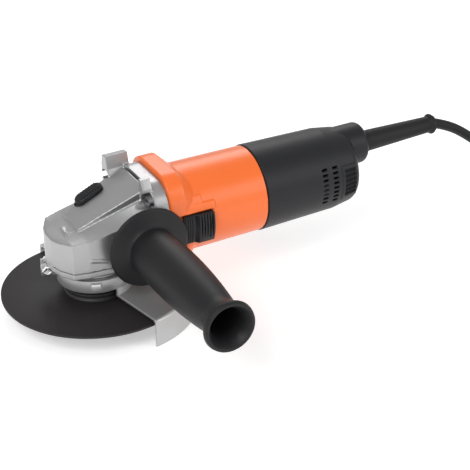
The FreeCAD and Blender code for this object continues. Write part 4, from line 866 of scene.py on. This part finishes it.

# %% [markdown]
# ## Ribs, slats and stitches
#
# Fingers need a rough place to push, so both buttons carry small ribs. The guard's band has a near-white
# tongue in its index slot, a painted highlight for the lit neck of the cover seen through it; the rear
# corner has a grille over the air inlet; near-black blocks are painted shade in three blind air slots; and
# the hook tape round the coil is sewn with two rows of stitches. All of them are blocks set down in rows.

# %% Ribs on the buttons
BUTTON_RISE, BUTTON_LONG = 8.4 * MM, 19.2 * MM
button_slope = math.atan2(BUTTON_RISE, BUTTON_LONG)
block_rows("lock_button_ribs", button_plastic, "spindle_lock", "button_plastic", {
    "Columns": 7, "Column step": 2.1 * MM, "Rows": 1, "Row step": 0.0,
    "Block": (0.9 * MM, 7.0 * MM, 1.2 * MM), "Place": tuple(case_point(4, 12.2, 21.2)),
    "Turn": (0.0, -button_slope, 0.0)})
round_rows("slide_button_front_ribs", button_plastic, "slide_switch", "dark_plastic", {
    "Columns": 4, "Column step": 1.6 * MM, "Radius": 30.6 * MM, "Radius step": 0.0, "Rows": 6,
    "First angle": math.radians(-20), "Angle step": math.radians(6.2),
    "Block": (0.8 * MM, 1.6 * MM, 3.5 * MM), "Place": tuple(case_point(53.4, 0, 0))})

# %% Tongue in the guard's index slot: a painted highlight
SLOT_TURN = math.radians(158)
TONGUE_REACH = 24.6 * MM
slot_way = Vector((-math.sin(SLOT_TURN), math.cos(SLOT_TURN), 0))
# The tongue's near-white colour is a painted highlight. It stands for the lit neck of the cover seen
# through the slot, which would otherwise sit in shade.
block_rows("index_tongue", index_painted_highlight, "guard", slot_of("guard_band"), {
    "Columns": 1, "Column step": 0.0, "Rows": 1, "Row step": 0.0, "Block": (6.0 * MM, 1.2 * MM, 1.3 * MM),
    "Place": tuple(case_point(0, 0, -28) + slot_way * TONGUE_REACH), "Turn": (0.0, 0.0, SLOT_TURN)})

# %% Grille, painted shade in the air slots, and stitches
# The same near-black serves the inlet grille and the painted shade in the blind air slots.
inlet_black_and_slot_shade = moulded_finish("inlet_black_and_slot_shade", (0.003, 0.003, 0.003), rough=0.8, grain=900, depth=0.02)
round_rows("inlet_grille", inlet_black_and_slot_shade, "root", "dark_plastic", {
    "Columns": 3, "Column step": 3.1 * MM, "Radius": 27.2 * MM, "Radius step": -0.5 * MM, "Rows": 6,
    "First angle": math.radians(-19), "Angle step": math.radians(7.2),
    "Block": (2.3 * MM, 2.4 * MM, 2.2 * MM), "Place": tuple(case_point(175.6, 0, 0))})
# Near-black blocks in three air slots that the rest pad closes from behind. They are painted shade, so the
# slots look open and dark.
block_rows("vent_shades", inlet_black_and_slot_shade, "root", "dark_plastic", {
    "Columns": 1, "Column step": 0.0, "Rows": 3, "Row step": 3.4 * MM,
    "Block": (3.9 * MM, 1.6 * MM, 0.6 * MM), "Place": tuple(case_point(159, -27.4, -1.2)),
    "Turn": (math.pi / 2, 0.0, 0.0)})
tie_middle = (low("cord_tie") + high("cord_tie")) / 2
block_rows("tie_stitches", stitch_thread, "root", "tie_plastic", {
    "Columns": 8, "Column step": 3.3 * MM, "Rows": 2, "Row step": 6.6 * MM,
    "Block": (2.0 * MM, 0.4 * MM, 0.3 * MM),
    "Place": (tie_middle.x, tie_middle.y, high("cord_tie").z), "Turn": (0.0, 0.0, math.radians(200))})

# %% [markdown]
# ## Inner pieces
#
# What lies inside keeps its CAD shape and only gets its finish. These pieces show when the tool is
# opened, through the air slots, or from below.

# %% Finishes for the inner CAD pieces
INNER_FINISHES = {
    "spindle": shaft_steel, "lock_pin": shaft_steel, "armature_shaft": motor_shaft_steel,
    "pinion_nut": dark_screw, "clamp_screws": dark_screw, "handle_stud": dark_screw,
    "spindle_bearing": spindle_bearing_steel, "needle_bearing": spindle_bearing_steel,
    "front_bearing": bearing_steel, "rear_bearing": bearing_steel,
    "crown_gear": gear_steel, "pinion": gear_steel,
    "dust_seal": seal_rubber, "rear_bearing_sleeve": seal_rubber, "clamped_lead": lead_rubber,
    "field_core": core_steel, "armature_core": core_steel,
    "field_windings": copper_wire, "armature_windings": copper_wire, "commutator": copper_bars,
    "air_baffle": dark_shell, "fan": dark_shell, "switch_unit": dark_shell, "switch_rod": dark_shell,
    "cord_clamp": dark_shell, "clamp_base": dark_shell, "brush_holders": stamped_brass,
    "suppressor_capacitor": capacitor_case, "upper_brush": pressed_carbon, "lower_brush": pressed_carbon,
}
for node, finish in INNER_FINISHES.items():
    nodes[node].data.materials.clear()
    nodes[node].data.materials.append(finish)
lead.data.materials.append(lead_rubber)
print(len(INNER_FINISHES), "inner pieces finished")

# %% [markdown]
# ## The springs
#
# A coil spring is held at one end and pressed at the other. Each spring here is a copy of its CAD shape
# with the spring finish, riding on the root body.

# %% The three springs
def pressed_spring(node):
    """A copy of a spring with the spring finish, riding on the root body."""
    spring = new_piece(node + "_finished", to_mesh(merged_copy(node), node + "_finished"), spring_steel,
                       "root", slot_of(node), (node,))
    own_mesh(spring)


pressed_spring("lock_spring")
pressed_spring("upper_brush_spring")
pressed_spring("lower_brush_spring")

# %% [markdown]
# ## The studio
#
# A pale floor and three large soft lamps. Large lamps give the long gentle highlights that show the
# shape of paint and plastic.

# %% Floor, lamps and sky
def plain_floor(reach):
    """A flat sheet under the tool. It glows a little, so that it stays pale beside the dark plastic."""
    mesh = bpy.data.meshes.new("floor")
    mesh.from_pydata([(-reach, -reach, floor_z), (reach, -reach, floor_z), (reach, reach, floor_z),
                      (-reach, reach, floor_z)], [], [(0, 1, 2, 3)])
    floor = bpy.data.objects.new("floor", mesh)
    bpy.context.scene.collection.objects.link(floor)
    pale = Finish("pale_floor", Base_Color=(0.8, 0.8, 0.8, 1), Roughness=0.95,
                  Emission_Color=(1, 1, 1, 1), Emission_Strength=0.45)
    mesh.materials.append(pale.material)


def lamp(name, place, aim, width, power):
    """A square soft lamp at a place, turned towards what it lights."""
    data = bpy.data.lights.new(name, "AREA")
    data.shape = "SQUARE"
    data.size = width
    data.energy = power
    item = bpy.data.objects.new(name, data)
    item.location = place
    item.rotation_euler = (Vector(aim) - Vector(place)).to_track_quat("-Z", "Y").to_euler()
    bpy.context.scene.collection.objects.link(item)


plain_floor(reach=6)
tool_middle = (0.08, 0, axis_z)
lamp("key_lamp", (-1.0, -0.7, 1.3), tool_middle, 0.9, 16)
lamp("fill_lamp", (1.2, -1.3, 0.8), tool_middle, 1.0, 8)
lamp("rim_lamp", (0.75, 1.3, 1.15), tool_middle, 0.8, 7)
world = bpy.data.worlds.new("sky")
world.use_nodes = True
world.node_tree.nodes["Background"].inputs["Color"].default_value = (1, 1, 1, 1)
world.node_tree.nodes["Background"].inputs["Strength"].default_value = 0.52
bpy.context.scene.world = world
bpy.context.scene.view_settings.view_transform = "Standard"

# %% [markdown]
# ## Last step
#
# The view layer is brought up to date.

# %% Bring the view layer up to date
bpy.context.view_layer.update()
